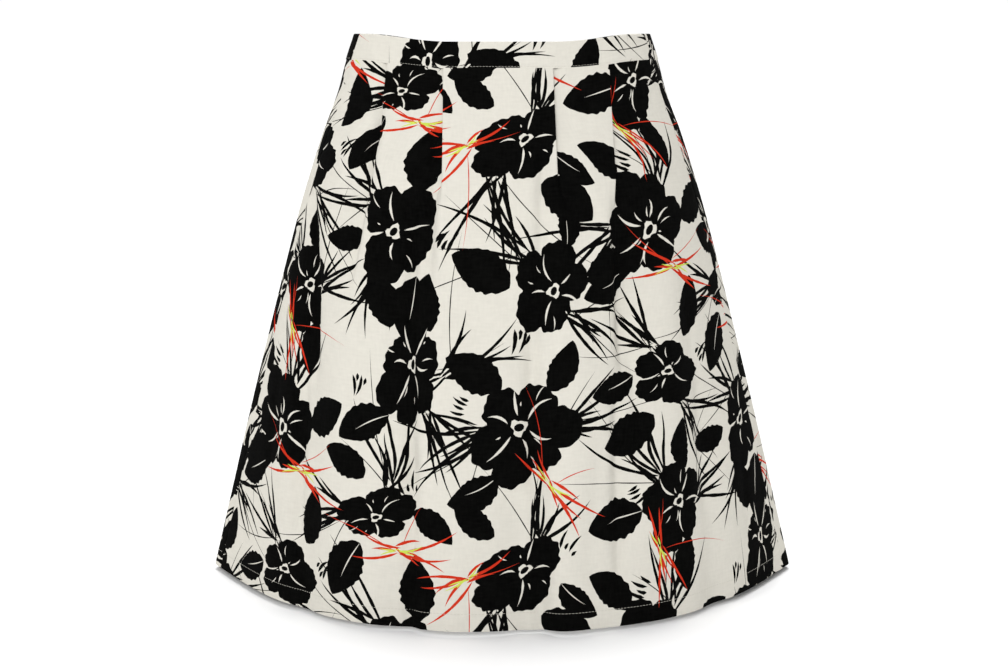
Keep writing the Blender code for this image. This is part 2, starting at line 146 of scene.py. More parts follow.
BACK_CREASES = fold_table(
    (-112, -122, 50, 150, -1, 6), (-30, -36, 70, 190, -0.9, 6), (34, 30, 50, 150, -1, 5),
    (104, 116, 60, 170, -1.1, 7), (-150, -166, 200, 330, -1.2, 7), (66, 52, 230, 380, -1.2, 8),
    (-60, -66, 300, 440, -1.1, 7), (205, 218, 290, 430, -1.2, 8), (120, 128, 400, 540, -1.1, 7),
    (-232, -246, 370, 520, -1.3, 8), (-96, -101, 170, 440, -3, 8), (-103, -98, 380, 700, -2.6, 9),
    (88, 85, 190, 500, -2.9, 7), (158, 184, 270, 700, -3, 8), (-190, -212, 230, 560, -2.8, 8),
    (24, 33, 340, 700, -2.3, 10),
)
CREASE_FADE = 0.045
DART_X, DART_END, DART_FADE = 0.072, 0.130, 0.035
DART_DEPTH, DART_HALF_WIDTH = 0.0008, 0.0016

# Cloth edges: they roll in at a seam and pucker a little along it
ROLL_DEPTH, ROLL_WIDTH = 0.00055, 0.0014
PUCKER_DEPTH, PUCKER_WIDTH, PUCKER_LENGTH = 0.00022, 0.0060, 0.0130

# The columns that the cloth is worked out on, and its rows, which are closer round the hem
TURN_STEPS, LAYER_STEPS, BETWEEN_STEPS = 8, 6, 44
SIDE_STEPS, BACK_STEPS = 130, 170
NEAR_SEAM, SEAM_STEPS = 0.006, 8
TUCK = 0.0010               # how far the panels reach up between the band's layers
ROW_STEP = 0.0022
CLOSE_ROWS_FROM = 0.021     # above the hem's edge
HEM_ROWS = np.array((20.0, 18.4, 17.2, 16.5, 15.8, 14.6, 10.0, 5.0, 2.6, 1.2, 0.6, 0.2, 0.0)) / 1000

# Lines and directions ------------------------------------------------------------------------


def ease(value, low, high):
    """0 below low, 1 above high, and t squared times (3 - 2 t) between."""
    t = np.clip((value - low) / (high - low), 0.0, 1.0)
    return t * t * (3.0 - 2.0 * t)


def bell(distance, half_width):
    """One at no distance, falling off as e to the minus square."""
    return np.exp(-(distance / half_width) ** 2)


def unit(vectors):
    return vectors / np.linalg.norm(vectors, axis=-1, keepdims=True)


def towards(angle):
    """The flat direction at an angle: its cosine and its sine."""
    return np.stack((np.cos(angle), np.sin(angle)), -1)


def leftwards(vectors):
    """Flat vectors, each turned left by a right angle."""
    return np.stack((-vectors[..., 1], vectors[..., 0]), -1)


def full_turn(count):
    return np.linspace(0.0, 2 * math.pi, count, endpoint=False)


def way_along(points):
    """The way along a line to each of its points: the sum of the steps before it."""
    return np.append(0.0, np.cumsum(np.hypot.reduce(np.diff(points, axis=0), axis=1)))


def read_off(at, way, rows):
    """Rows at places along a way, by straight lines between the rows that are known."""
    return np.stack([np.interp(at, way, column) for column in rows.T], -1)


# The form ------------------------------------------------------------------------------------


def level_at(drop):
    """Half width, half depth and pinch at a drop: a Hermite curve through the table's rows."""
    table = np.array(OUTLINE)
    drops, sizes = table[:, 0], table[:, 1:]
    row = min(max(int(np.searchsorted(drops, drop)) - 1, 0), len(drops) - 2)
    span = drops[row + 1] - drops[row]
    t = (drop - drops[row]) / span
    slopes = np.gradient(sizes, drops, axis=0) * span
    return (
        sizes[row] * (1 + 2 * t) * (1 - t) ** 2
        + slopes[row] * t * (1 - t) ** 2
        + sizes[row + 1] * t * t * (3 - 2 * t)
        - slopes[row + 1] * t * t * (1 - t)
    )


@functools.lru_cache(maxsize=None)
def ring(drop):
    """One level of the form, from centre back round the front and back again.

    x is the half width times the sine of the turn, y the half depth times its cosine, and the
    pinch draws the sides together. The points are evenly spaced, the sides rounded by averaging.
    """
    half_width, half_depth, pinch = level_at(drop)
    turn = np.linspace(-math.pi, math.pi, 4 * RING_STEPS + 1)
    cosine = np.cos(turn)
    y = -half_depth * np.sign(cosine) * np.abs(cosine) ** (1.0 + pinch * np.sin(turn) ** 2)
    points = np.stack((half_width * np.sin(turn), y), -1)
    way = way_along(points)
    points = read_off(np.linspace(0.0, way[-1], RING_STEPS + 1)[:-1], way, points)
    reach = max(int(SIDE_ROUNDING / (way[-1] / RING_STEPS)), 1)
    shifted = (np.roll(points, shift, axis=0) for shift in range(-reach, reach + 1))
    points = sum(shifted) / (2 * reach + 1)
    points[:, 0] *= half_width / points[:, 0].max()
    points = np.concatenate((points, points[:1]))
    way = way_along(points)
    return points, way - way[-1] / 2


def across(drop, x, back=False):
    """The place along the ring, from centre front, of a point x to the side."""
    points, way = ring(drop)
    widest = int(np.argmax(points[:, 0]))
    run = np.arange(len(way) - 1, widest - 1, -1) if back else np.arange(len(way) // 2, widest + 1)
    return math.copysign(np.interp(abs(x), points[run, 0], way[run]), x)


@functools.lru_cache(maxsize=None)
def seam_place(drop):
    return across(drop, level_at(drop)[0] - SEAM_FORWARD)


def back_place(drop):
    return ring(drop)[1][-1]


def on_ring(drop, place):
    """Points x, y at places along one ring, and the directions that point out of it there."""
    points, way = ring(drop)
    place = (np.asarray(place) - way[0]) % (way[-1] - way[0]) + way[0]
    slope = read_off(place, way, np.gradient(points, way, axis=0))
    return read_off(place, way, points), unit(-leftwards(slope))


def stand(drop, place, offset):
    """Points at places along one ring, moved by offset square to the flaring cloth.

    The level sinks where the top edge dips at the middle of the front and of the back.
    """
    point, outwards = on_ring(drop, place)
    flare = on_ring(drop + FLARE_REACH, place)[0] - on_ring(drop - FLARE_REACH, place)[0]
    flare = (flare * outwards).sum(-1) / (2 * FLARE_REACH)
    level = np.asarray(offset) / np.hypot(1.0, flare)
    sink = np.where(point[:, 1] < 0.0, FRONT_DIP, BACK_DIP)
    sink = sink * (1.0 - ease(np.abs(point[:, 0]) / level_at(drop)[0], *DIP_SHARES))
    sink = sink * (1.0 - ease(drop, 0.0, DIP_FADES_AT))
    return np.column_stack((point + level[:, None] * outwards, level * flare - drop - sink))


def fold_height(folds, fade_length, drop, place, back=False):
    """Bell-shaped ridges and troughs along leaning lines, which start and end softly."""
    total = np.zeros_like(place)
    for fold in folds:
        share = (drop - fold.drop_from) / (fold.drop_to - fold.drop_from)
        fade = ease(drop, fold.drop_from, fold.drop_from + fade_length)
        fade *= 1.0 - ease(drop, fold.drop_to - fade_length, fold.drop_to)
        if fade > 0.0:
            line = across(drop, fold.x_from + (fold.x_to - fold.x_from) * share, back)
            total += fold.height * fade * bell(place - line, fold.half_width)
    return total


def settled(drop, at_band, below):
    """A value that goes from one at the band to another where the pleats have settled."""
    return at_band + (below - at_band) * ease(drop, BAND_HEIGHT, SETTLES_AT)


def recovery(drop, beyond, depth):
    """The cloth beyond a pleat comes back out to the ring over a short width."""
    return depth * (1.0 - ease(beyond, 0.0, settled(drop, RECOVERY_AT_BAND, RECOVERY_BELOW)))


def pleat_section(drop, pleat):
    """One pleat's section: places beyond its edge, and offsets.

    Above the release it is a Z of three layers joined by half-round turns. Below it the Z
    opens into a soft step, which fades out at the end.
    """
    radius = settled(drop, PITCH_AT_BAND, PITCH_BELOW) / 2
    loosens = BAND_HEIGHT + PLEAT_KEEPS * (pleat.release - BAND_HEIGHT)
    kept = pleat.overlap * (1.0 - ease(drop, loosens, pleat.release))
    turn = np.linspace(0.5 * math.pi, -0.5 * math.pi, TURN_STEPS + 1)
    upper = np.stack((np.cos(turn) - 1.0, np.sin(turn) - 1.0), -1) * radius
    lower = np.stack((-np.cos(turn) - 1.0, np.sin(turn) - 3.0), -1) * radius - (kept, 0.0)
    share = np.linspace(0.0, 1.0, LAYER_STEPS + 1)[1:-1, None]
    folded = np.concatenate((upper, upper[-1] * (1.0 - share) + lower[0] * share, lower))
    share = np.linspace(0.0, 1.0, len(folded))
    depth = PLEAT_VALLEY * (1.0 - ease(drop, pleat.release + VALLEY_HOLDS, pleat.end))
    opened = np.stack((share * PLEAT_SPREAD - radius, -depth * ease(share, 0.0, 1.0)), -1)
    open_share = ease(drop, pleat.release, pleat.release + PLEAT_OPENS)
    return (folded * (1.0 - open_share) + opened * open_share).T


def pleat_edge(drop, pleat):
    """Where along the ring the pleat's edge lies: straight lines between its three rows of x."""
    drops = (BAND_HEIGHT, pleat.release, pleat.end, SKIRT_LENGTH)
    lines = (pleat.x_at_band, pleat.x_at_release, pleat.x_at_end, pleat.x_at_end)
    return across(drop, float(np.interp(drop, drops, lines)))


def run_to_seam(start, seam, steps):
    """Even places up to the seam, and closer ones where the cloth rolls in at it."""
    even = np.linspace(start, seam - NEAR_SEAM, steps + 1)
    return np.append(even, seam - NEAR_SEAM * np.linspace(1.0, 0.0, SEAM_STEPS + 1)[1:] ** 2)


def run_between_seams(start, end, steps):
    """Places from one seam to another, closer beside both."""
    middle = (start + end) / 2
    half = run_to_seam(middle, end, steps // 2)
    return np.append((2 * middle - half)[:0:-1], half)


def seam_roll(drop, to_seam, phase):
    """The cloth rolls in at a seam, and puckers beside it in waves of uneven height."""
    wave = np.sin(2 * math.pi * drop / PUCKER_LENGTH + phase)
    wave += 0.6 * np.sin(2 * math.pi * drop / (1.7 * PUCKER_LENGTH) + 2.0 * phase)
    pucker = PUCKER_DEPTH * wave * bell(to_seam - PUCKER_WIDTH / 2, PUCKER_WIDTH)
    return pucker - ROLL_DEPTH * np.exp(-to_seam / ROLL_WIDTH)


def front_half(drop, side):
    """Places and offsets from centre front to one side seam, and which columns are a pleat's."""
    seam = seam_place(drop) - SEAM_GAP / 2
    places, offsets, folded = [0.0], [0.0], [False]
    depth, reached = 0.0, -1.0
    for pleat in (pleat for pleat in PLEATS if pleat.side == side):
        edge = pleat_edge(drop, pleat)
        beyond, inwards = pleat_section(drop, pleat)
        run = np.linspace(places[-1], edge + beyond[0], BETWEEN_STEPS + 1)[1:-1]
        places += [*run, *(edge + beyond)]
        offsets += [*recovery(drop, run - reached, depth)]
        offsets += [*(inwards + recovery(drop, edge - reached, depth))]
        folded += [False] * len(run) + [True] * len(beyond)
        depth, reached = offsets[-1], max(edge, places[-1])
    run = run_to_seam(places[-1], seam, SIDE_STEPS)[1:]
    places += [*run]
    folded += [False] * len(run)
    offsets += [*(recovery(drop, run - reached, depth) + seam_roll(drop, seam - run, side))]
    return side * np.array(places), np.array(offsets), np.array(folded)


def rows_down():
    """The drops of a panel's rows: even, then closer round the hem's stitches and edge."""
    even = np.arange(BAND_HEIGHT - TUCK, SKIRT_LENGTH - CLOSE_ROWS_FROM, ROW_STEP)
    return np.append(even, SKIRT_LENGTH - HEM_ROWS)


def front_rows():
    """The front from seam to seam, with its pleats, folds and creases."""
    rows = []
    for drop in rows_down():
        left, right = front_half(drop, -1), front_half(drop, +1)
        places, offsets, folded = (np.append(a[:0:-1], b) for a, b in zip(left, right))
        offsets += fold_height(FRONT_FOLDS, FOLD_FADE, drop, places)
        offsets += fold_height(FRONT_CREASES, CREASE_FADE, drop, places)
        rows.append(stand(drop, places, offsets + settled(drop, LIFT_AT_BAND, 0.0)))
    return Drape(rows_down(), rows, len(left[0]) - 1, folded)


def back_rows(side):
    """One back, from its side seam to the centre-back seam, with its folds and its dart."""
    rows = []
    for drop in rows_down():
        start, end = seam_place(drop) + SEAM_GAP / 2, back_place(drop) - SEAM_GAP / 2
        places = run_between_seams(start, end, BACK_STEPS)
        offsets = (seam_roll(drop, places - start, 3.0 + side)
                   + seam_roll(drop, end - places, 5.0 - side))
        places = side * places
        offsets += fold_height(BACK_FOLDS, FOLD_FADE, drop, places, back=True)
        offsets += fold_height(BACK_CREASES, CREASE_FADE, drop, places, back=True)
        dart = bell(places - across(drop, side * DART_X, back=True), DART_HALF_WIDTH)
        offsets -= DART_DEPTH * (1.0 - ease(drop, DART_END - DART_FADE, DART_END)) * dart
        rows.append(stand(drop, places[::side], offsets[::side]))
    return Drape(rows_down(), rows, -1 if side > 0 else 0)


class Drape:
    """A cloth piece on the form: rows of points at levels, and the way along the cloth on each.

    The way is the sum of the steps between a row's points, from a datum column: the flat
    cloth's own width. Normals are the cross product of the steps down and across.
    """

    def __init__(self, levels, rows, datum, folded=None):
        self.levels, self.points = np.array(levels), np.array(rows)
        steps = np.linalg.norm(np.diff(self.points, axis=1), axis=-1)
        ways = np.concatenate((np.zeros((len(steps), 1)), np.cumsum(steps, axis=1)), axis=1)
        self.ways = ways - ways[:, datum][:, None]
        down, right = np.gradient(self.points, axis=(0, 1))
        self.normals = unit(np.cross(down, right))
        self.folded = np.zeros(ways.shape[1], bool) if folded is None else folded

    def at(self, flat):
        """Points and normals on the cloth at (across, up): straight lines between two rows."""
        level = np.interp(-flat[:, 1], self.levels, np.arange(len(self.levels)))
        row = np.minimum(level.astype(int), len(self.levels) - 2)
        share = (level - row)[:, None]
        values = np.concatenate((self.points, self.normals), axis=-1)
        order = np.argsort(row, kind="stable")
        ends = np.searchsorted(row[order], np.arange(len(self.levels)))
        found = np.empty((len(flat), 6))
        for k, (start, stop) in enumerate(zip(ends[:-1], ends[1:])):
            chosen = order[start:stop]
            upper, lower = (read_off(flat[chosen, 0], self.ways[j], values[j]) for j in (k, k + 1))
            found[chosen] = upper * (1.0 - share[chosen]) + lower * share[chosen]
        return found[:, :3], unit(found[:, 3:])

    def across_at(self, drop, count):
        """Even places over the flat cloth's width at a drop, from just inside its edges."""
        low, high = (np.interp(drop, self.levels, self.ways[:, end]) for end in (0, -1))
        places = np.linspace(low + STITCHED_FROM, high - STITCHED_FROM, count)
        return self.at(np.stack((places, np.full(count, -drop)), -1))


# The print -----------------------------------------------------------------------------------

CREAM, BLACK, RED, LIME = range(4)

# One repeat of the print, in metres and degrees; the next column of repeats drops by half.
# A spray is a blossom with leaves, grass, coloured sprigs and dabs at angles round it.
REPEAT = (0.420, 0.400)
Spray = namedtuple("Spray", "x y size turn leaf grass sprig dabs seed")
SPRAYS = (
    Spray(0.062, 0.052, 0.055, 12, (58, 118, 236), (8, 176), (300,), (150,), 1),
    Spray(0.086, 0.188, 0.045, 75, (4, 62, 182), (128, 305), (), (228,), 2),
    Spray(0.056, 0.320, 0.051, 40, (122, 300, 352), (60, 236), (182,), (20,), 3),
    Spray(0.220, 0.098, 0.047, 5, (56, 176, 242), (300, 120), (), (4,), 4),
    Spray(0.194, 0.242, 0.057, 62, (2, 122, 242), (184, 60), (306,), (92,), 5),
    Spray(0.224, 0.374, 0.043, 28, (64, 180, 300), (2, 118), (240,), (150,), 6),
    Spray(0.354, 0.036, 0.051, 50, (60, 182, 296), (122, 242), (), (340,), 7),
    Spray(0.336, 0.174, 0.041, 16, (118, 238, 4), (64, 182), (300,), (30,), 8),
    Spray(0.368, 0.306, 0.054, 84, (58, 118, 240), (0, 300), (), (184,), 9),
)
# What stands round a spray's blossom: how far out, in blossoms, its size and how far it leans
Around = namedtuple("Around", "kind reach size lean")
AROUND = (Around("leaf", 0.86, 0.056, 38), Around("grass", 0.70, 0.092, 30),
          Around("sprig", 0.95, 0.070, 60), Around("dabs", 1.12, 0.020, 80))
BLOSSOM_SHARE = 0.94        # of a spray's size

# Grass and sprigs are fans of strokes; a fan's length is in the motif's sizes
Fan = namedtuple("Fan", "turn length width count spread seed ink")
FANS = {
    "grass": (
        Fan(0.0, 1.0, 0.0034, 8, 1.25, 0, BLACK),
        Fan(math.pi, 0.40, 0.0026, 3, 1.0, 5, BLACK),
        Fan(0.5, 1.5, 0.0010, 2, 1.9, 2, BLACK),
    ),
    "sprig": (
        Fan(0.0, 1.0, 0.0027, 5, 0.95, 0, RED),
        Fan(math.pi, 0.75, 0.0026, 3, 0.8, 3, RED),
        Fan(0.1, 0.46, 0.0017, 3, 0.8, 7, LIME),
        Fan(math.pi + 0.2, 0.34, 0.0016, 2, 0.7, 9, LIME),
        Fan(1.7, 1.5, 0.0009, 2, 3.4, 4, RED),
    ),
}
Motif = namedtuple("Motif", "kind x y size turn seed")
PAINTED = ("grass", "leaf", "dabs", "blossom", "sprig")    # the kinds, from the lowest up
EDGE_STEP = 0.0019          # between the points of a motif's edge
PETALS = (5, 6, 5, 4)       # of the blossoms in turn
PETAL_GAP = 0.27            # how deep the gaps between petals are, in radii
MOTIF_REACH = 1.9           # the furthest that a motif reaches, in sizes

# Where each piece is cut from the printed cloth, its flat size and its area
Cut = namedtuple("Cut", "place flat area")
CUTS = {
    "front_panel": Cut((0.040, 0.020), (0.757, 0.549), 0.317),
    "back_left": Cut((0.155, 0.110), (0.411, 0.549), 0.179),
    "back_right": Cut((0.070, 0.225), (0.411, 0.549), 0.180),
    "waistband_front": Cut((0.020, 0.160), (0.347, 0.052), 0.0178),
    "waistband_back_left": Cut((0.110, 0.030), (0.240, 0.052), 0.0124),
    "waistband_back_right": Cut((0.215, 0.145), (0.240, 0.052), 0.0124),
}


def along(start, direction, bow, t):
    """A bowed line: start plus t times direction, plus 4 t (1 - t) times bow square to it."""
    bowed = np.outer(4.0 * t * (1.0 - t) * bow, leftwards(direction))
    return start + np.outer(t, direction) + bowed


def ribbon(line, half_width):
    """The outline of a line that has a half width at each point: up one side, down the other."""
    side = leftwards(unit(np.gradient(line, axis=0))) * half_width[:, None]
    return np.concatenate((line - side, (line + side)[::-1][1:-1]))


def stroke(start, angle, length, width, bow, seed):
    """A brush stroke: its half width is a sine of the way to the power 0.7, a little rough."""
    t = np.linspace(0.0, 1.0, max(int(length / (1.8 * EDGE_STEP)), 5))
    rough = 1.0 + 0.18 * np.sin(11.0 * t + seed) * np.sin(27.0 * t + 2.0 * seed)
    half_width = width / 2 * rough * np.sin(math.pi * t ** 0.7) ** 0.8
    return ribbon(along(start, length * towards(angle), bow, t), half_width)


def fan(size, seed, turn, length, width, count, spread, more_seed, ink):
    """Strokes that leave one spot at uneven angles, lengths and bows."""
    length, seed = length * size, seed + more_seed
    strokes = []
    for k in range(count):
        share = (k + 0.5) / count - 0.5 + 0.10 * math.sin(5.3 * k + seed)
        reach = length * (0.72 + 0.28 * math.sin(2.4 * k + 1.7 * seed))
        root = 0.06 * length * np.array((math.sin(4.0 * k + seed), math.cos(2.0 * k)))
        bow = 0.07 * math.sin(3.1 * k + seed)
        strokes.append((stroke(root, turn + spread * share, reach, width, bow, k + seed), ink))
    return strokes


def blossom(size, seed):
    """Four to six broad petals round an off-centre cream eye, with cream slits and veins.

    The edge's radius is a power of the cosine of the turn times half the petals, made uneven
    by slow sine waves and rough by fast ones. The whole is drawn in a little along one line, as
    if seen from the side.
    """
    turn = full_turn(int(2 * math.pi * size / EDGE_STEP * 1.1))
    petals = PETALS[seed % len(PETALS)]
    lobes = np.abs(np.cos(petals * turn / 2 + 0.25 * np.sin(turn + seed))) ** 0.5
    uneven = 1.0 + 0.10 * np.sin(2 * turn + seed) + 0.07 * np.sin(3 * turn + 2.3 * seed)
    rough = 0.020 * np.sin(15 * turn + seed) + 0.016 * np.sin(29 * turn + 3 * seed)
    radius = size * (uneven * (1.0 - PETAL_GAP + PETAL_GAP * lobes) + rough)
    shapes = [(towards(turn) * radius[:, None], BLACK)]
    middle = 0.16 * size * towards(2.1 * seed)
    for petal in range(petals):
        gap = 2 * math.pi * (petal + 0.5) / petals - 0.08 * math.sin(petal + seed)
        start = middle + 0.22 * size * towards(gap)
        length = size * (0.50 + 0.16 * math.sin(2.3 * petal + seed))
        bow = 0.16 * math.sin(1.9 * petal + seed)
        shapes.append((stroke(start, gap, length, 0.052 * size, bow, petal), CREAM))
        for vein in (-0.30, 0.24) if petal % 2 else ():
            angle = 2 * math.pi * petal / petals + vein
            place = 0.40 + 0.20 * math.sin(3.1 * petal + 9 * vein + seed)
            start = middle + place * size * towards(angle)
            length = size * (0.22 + 0.14 * math.sin(2.7 * petal + 5 * vein + seed))
            shapes.append((stroke(start, angle, length, 0.030 * size, 0.08, petal), CREAM))
    turn = full_turn(20)
    wave = size * (0.150 + 0.035 * np.sin(3 * turn + seed) + 0.015 * np.sin(7 * turn))
    shapes.append((middle + towards(turn) * wave[:, None], CREAM))
    shapes.append((middle + towards(turn)[::2] * (0.100, 0.075) * size, BLACK))
    flattened = np.array((1.0, 0.80 + 0.18 * math.sin(1.3 * seed)))
    return [(shape * flattened, ink) for shape, ink in shapes]


def leaf(size, seed):
    """A broad almond with a toothed edge, bowed a little, some with a cream midrib."""
    t = np.linspace(0.0, 1.0, int(size / EDGE_STEP) + 1)
    bow = 0.09 * math.sin(1.7 * seed)
    line = along(np.zeros(2), np.array((size, 0.0)), bow, t)
    teeth = 1.0 + 0.05 * np.sin(2 * math.pi * 7 * t + seed) + 0.035 * np.sin(40 * t + seed)
    width = size * (0.285 + 0.035 * math.sin(2.9 * seed))
    shapes = [(ribbon(line, width * teeth * np.sin(math.pi * t ** 0.88) ** 0.76), BLACK)]
    if math.sin(2.2 * seed) > 0.1:
        rib = along(np.zeros(2), np.array((0.66 * size, 0.0)), 0.7 * bow, t)
        shapes.append((ribbon(rib, 0.010 * size * np.sin(math.pi * (0.05 + 0.95 * t))), CREAM))
    return shapes


def dabs(size, seed):
    """Short strokes side by side, as a dry brush leaves them."""
    return [
        (stroke((0.07 * size * math.sin(2 * k + seed), 0.24 * size * k), 0.22 * math.sin(k + seed),
                size * (0.75 + 0.35 * math.sin(3 * k + seed)), 0.17 * size, 0.08, k + seed), BLACK)
        for k in range(4)
    ]


def motifs():
    """Every motif of one repeat, the lowest painted first.

    Those round a spray's blossom point outwards and lean to one side.
    """
    drawn = []
    for spray in SPRAYS:
        centre, size = np.array((spray.x, spray.y)), BLOSSOM_SHARE * spray.size
        drawn.append(Motif("blossom", *centre, size, spray.turn, spray.seed))
        for kind, reach, size, lean in AROUND:
            for number, angle in enumerate(getattr(spray, kind)):
                seed = 10 * spray.seed + number
                place = centre + reach * spray.size * towards(math.radians(angle))
                drawn.append(Motif(kind, *place, size * (1.0 + 0.14 * math.sin(2.9 * seed)),
                                   angle + lean * math.sin(1.9 * seed), seed))
    return sorted(drawn, key=lambda motif: PAINTED.index(motif.kind))


def motif_shapes(motif):
    """The outlines of one motif and their inks, in its own place and turn."""
    if motif.kind in FANS:
        shapes = [shape for row in FANS[motif.kind] for shape in fan(motif.size, motif.seed, *row)]
    else:
        draw = {"blossom": blossom, "leaf": leaf, "dabs": dabs}[motif.kind]
        shapes = draw(motif.size, motif.seed)
    ahead = towards(math.radians(motif.turn))
    turned = np.stack((ahead, leftwards(ahead)))
    return [(shape @ turned + (motif.x, motif.y), ink) for shape, ink in shapes]


def print_over(low, high, cut_at):
    """The print's outlines and inks over a box of flat cloth, cut from a place in the repeat."""
    first, last = ((corner + cut_at) // REPEAT for corner in (low, high))
    columns = range(int(first[0]) - 1, int(last[0]) + 2)
    rows = range(int(first[1]) - 2, int(last[1]) + 2)
    shapes = []
    for motif in motifs():
        outlines, reach = motif_shapes(motif), MOTIF_REACH * motif.size
        for column in columns:
            for row in rows:
                shift = np.array((column, row + 0.5 * (column % 2))) * REPEAT - cut_at
                middle = shift + (motif.x, motif.y)
                if np.all(middle > low - reach) and np.all(middle < high + reach):
                    shapes += [(outline + shift, ink) for outline, ink in outlines]
    return [
        (outline, ink) for outline, ink in shapes
        if np.all(outline.max(0) > low) and np.all(outline.min(0) < high)
    ]


Flat = namedtuple("Flat", "points triangles inks")
NEAREST = 0.00002           # points closer than this become one


def cut(points, links, faces):
    """A constrained Delaunay triangulation of points, kept where the first face covers it.

    It gives points, triangles, and the last of the faces that covers each triangle.
    """
    places = [Vector(point) for point in points.tolist()]
    places, _, found, _, _, covers = delaunay_2d_cdt(places, links, faces, 1, NEAREST, True)
    kept = np.array([
        (*face, max(cover)) for face, cover in zip(found, covers) if cover and min(cover) == 0
    ])
    used, triangles = np.unique(kept[:, :3], return_inverse=True)
    return np.array(places)[used], triangles.reshape(-1, 3), kept[:, 3]


def edges_of(triangles):
    return np.concatenate([triangles[:, ends] for ends in ((0, 1), (1, 2), (2, 0))])


def ink_borders(triangles, inks):
    """The edges that two triangles of different inks share."""
    edges = np.sort(edges_of(triangles), axis=1)
    order = np.lexsort(edges.T)
    edges, owners = edges[order], np.tile(inks, 3)[order]
    shared = np.all(edges[1:] == edges[:-1], axis=1) & (owners[1:] != owners[:-1])
    return edges[1:][shared]


def printed_flat(edge, lines, spots, shapes):
    """Flat cloth as triangles that keep to the piece's edge, its fold lines and the print's edges.

    The print is cut out first, with the piece's edge as the first face and each shape as the next
    one, so a triangle's ink is that of the last face which covers it. Only the edges between two
    inks go into the cloth, and each of its triangles takes the ink at its middle.
    """
    outlines = [outline for outline, _ in shapes]
    starts = np.cumsum([0, len(edge)] + [len(outline) for outline in outlines]).tolist()
    faces = [list(range(start, stop)) for start, stop in zip(starts[:-1], starts[1:])]
    points, triangles, tops = cut(np.concatenate([edge, *outlines]), [], faces)
    inks = np.array([CREAM] + [ink for _, ink in shapes])[tops]
    drawn = BVHTree.FromPolygons(np.insert(points, 2, 0.0, axis=1).tolist(), triangles.tolist())
    used, borders = np.unique(ink_borders(triangles, inks), return_inverse=True)
    links, count = [], len(edge)
    for line in lines:
        links += zip(range(count, count + len(line) - 1), range(count + 1, count + len(line)))
        count += len(line)
    links += map(tuple, (borders.reshape(-1, 2) + count + len(spots)).tolist())
    points = np.concatenate([edge, *lines, spots, points[used]])
    points, triangles, _ = cut(points, links, [list(range(len(edge)))])
    down = Vector((0.0, 0.0, -1.0))
    middles = points[triangles].mean(1).tolist()
    hits = [drawn.ray_cast(Vector((*middle, 1.0)), down)[2] for middle in middles]
    return Flat(points, triangles, np.array([CREAM if hit is None else inks[hit] for hit in hits]))


# Meshes and pieces ---------------------------------------------------------------------------


def new_object(name, data):
    made = bpy.data.objects.new(name, data)
    bpy.context.scene.collection.objects.link(made)
    return made


def mesh_from(name, points, faces):
    """A smooth mesh from an array of points and a list of arrays of faces."""
    mesh = bpy.data.meshes.new(name)
    mesh.from_pydata(points.tolist(), [], [face for block in faces for face in block.tolist()])
    mesh.update()
    mesh.shade_smooth()
    return mesh


def add_attribute(mesh, name, domain, values):
    """Numbers, or places where the values have three columns, on the faces or the points."""
    values = np.asarray(values, np.float32)
    kind, key = ("FLOAT", "value") if values.ndim == 1 else ("FLOAT_VECTOR", "vector")
    mesh.attributes.new(name, kind, domain).data.foreach_set(key, values.ravel())


def finished(mesh, finish, body=BODY, node=None):
    """Makes a mesh a piece with its finish and its body, in place of a solid if one is named."""
    mesh.materials.append(bpy.data.materials[finish])
    piece = new_object(mesh.name, mesh)
    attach(piece, body)
    if node:
        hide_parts(node)
    return piece


def quads(index, way=1):
    """Faces between a grid's rows of points, each row closed on itself; -1 turns them over."""
    beside = np.roll(index, -way, axis=-1)
    upper, lower = (..., slice(None, -1), slice(None)), (..., slice(1, None), slice(None))
    return np.stack((index[upper], beside[upper], beside[lower], index[lower]), -1).reshape(-1, 4)


def tubes(centres, first, second, radius, sides, count=1):
    """Points and faces of closed tubes, with as many centres on each.

    A section is the first direction times the cosine of the turn plus the second times its
    sine, times the radius.
    """
    turn = full_turn(sides)[:, None]
    section = first[:, None] * np.cos(turn) + second[:, None] * np.sin(turn)
    points = centres[:, None] + section * np.reshape(radius, (-1, 1, 1))
    index = np.arange(len(centres) * sides).reshape(count, -1, sides)
    return points.reshape(-1, 3), [quads(index), index[:, 0, ::-1], index[:, -1]]


def tube(path, radius, sides, square):
    """A round tube along a path; square is a direction never along it."""
    ahead = unit(np.gradient(path, axis=0))
    first = unit(square - (square * ahead).sum(1, keepdims=True) * ahead)
    return tubes(path, first, np.cross(ahead, first), radius, sides)


def joined(name, parts):
    """One mesh from several parts' points and faces."""
    starts = np.cumsum([0] + [len(points) for points, _ in parts])
    faces = [block + start for start, (_, blocks) in zip(starts, parts) for block in blocks]
    return mesh_from(name, np.concatenate([points for points, _ in parts]), faces)


# The cloth -----------------------------------------------------------------------------------

SPOT_ACROSS = 0.0042        # between the loose spots of a row
SPOTS_AT_EDGE, EDGE_CLEAR = np.array((0.0007, 0.0016, 0.0028)), 0.004
MELD = 0.0004               # spots nearer than this to another line are left out
ROWS_TAKEN = 3              # one even row in this many
RULED_FROM = 0.0185         # above the hem's edge, from where each row is a line
HEM_STEP = (0.0010, 0.0006)     # the turned-up layer's edge, above and below its depth
FACES_APART = 0.05          # so that the grain differs on the two faces
UNWRAP_HALVES = (0.49, 0.505), (-0.49, 0.495)   # each one's height, and where it starts


def border(triangles):
    """The directed edges that only one triangle has, and that triangle's number."""
    edges = edges_of(triangles)
    key = np.sort(edges, axis=1)
    _, first, count = np.unique(key, axis=0, return_index=True, return_counts=True)
    single = first[count == 1]
    return edges[single], single % len(triangles)


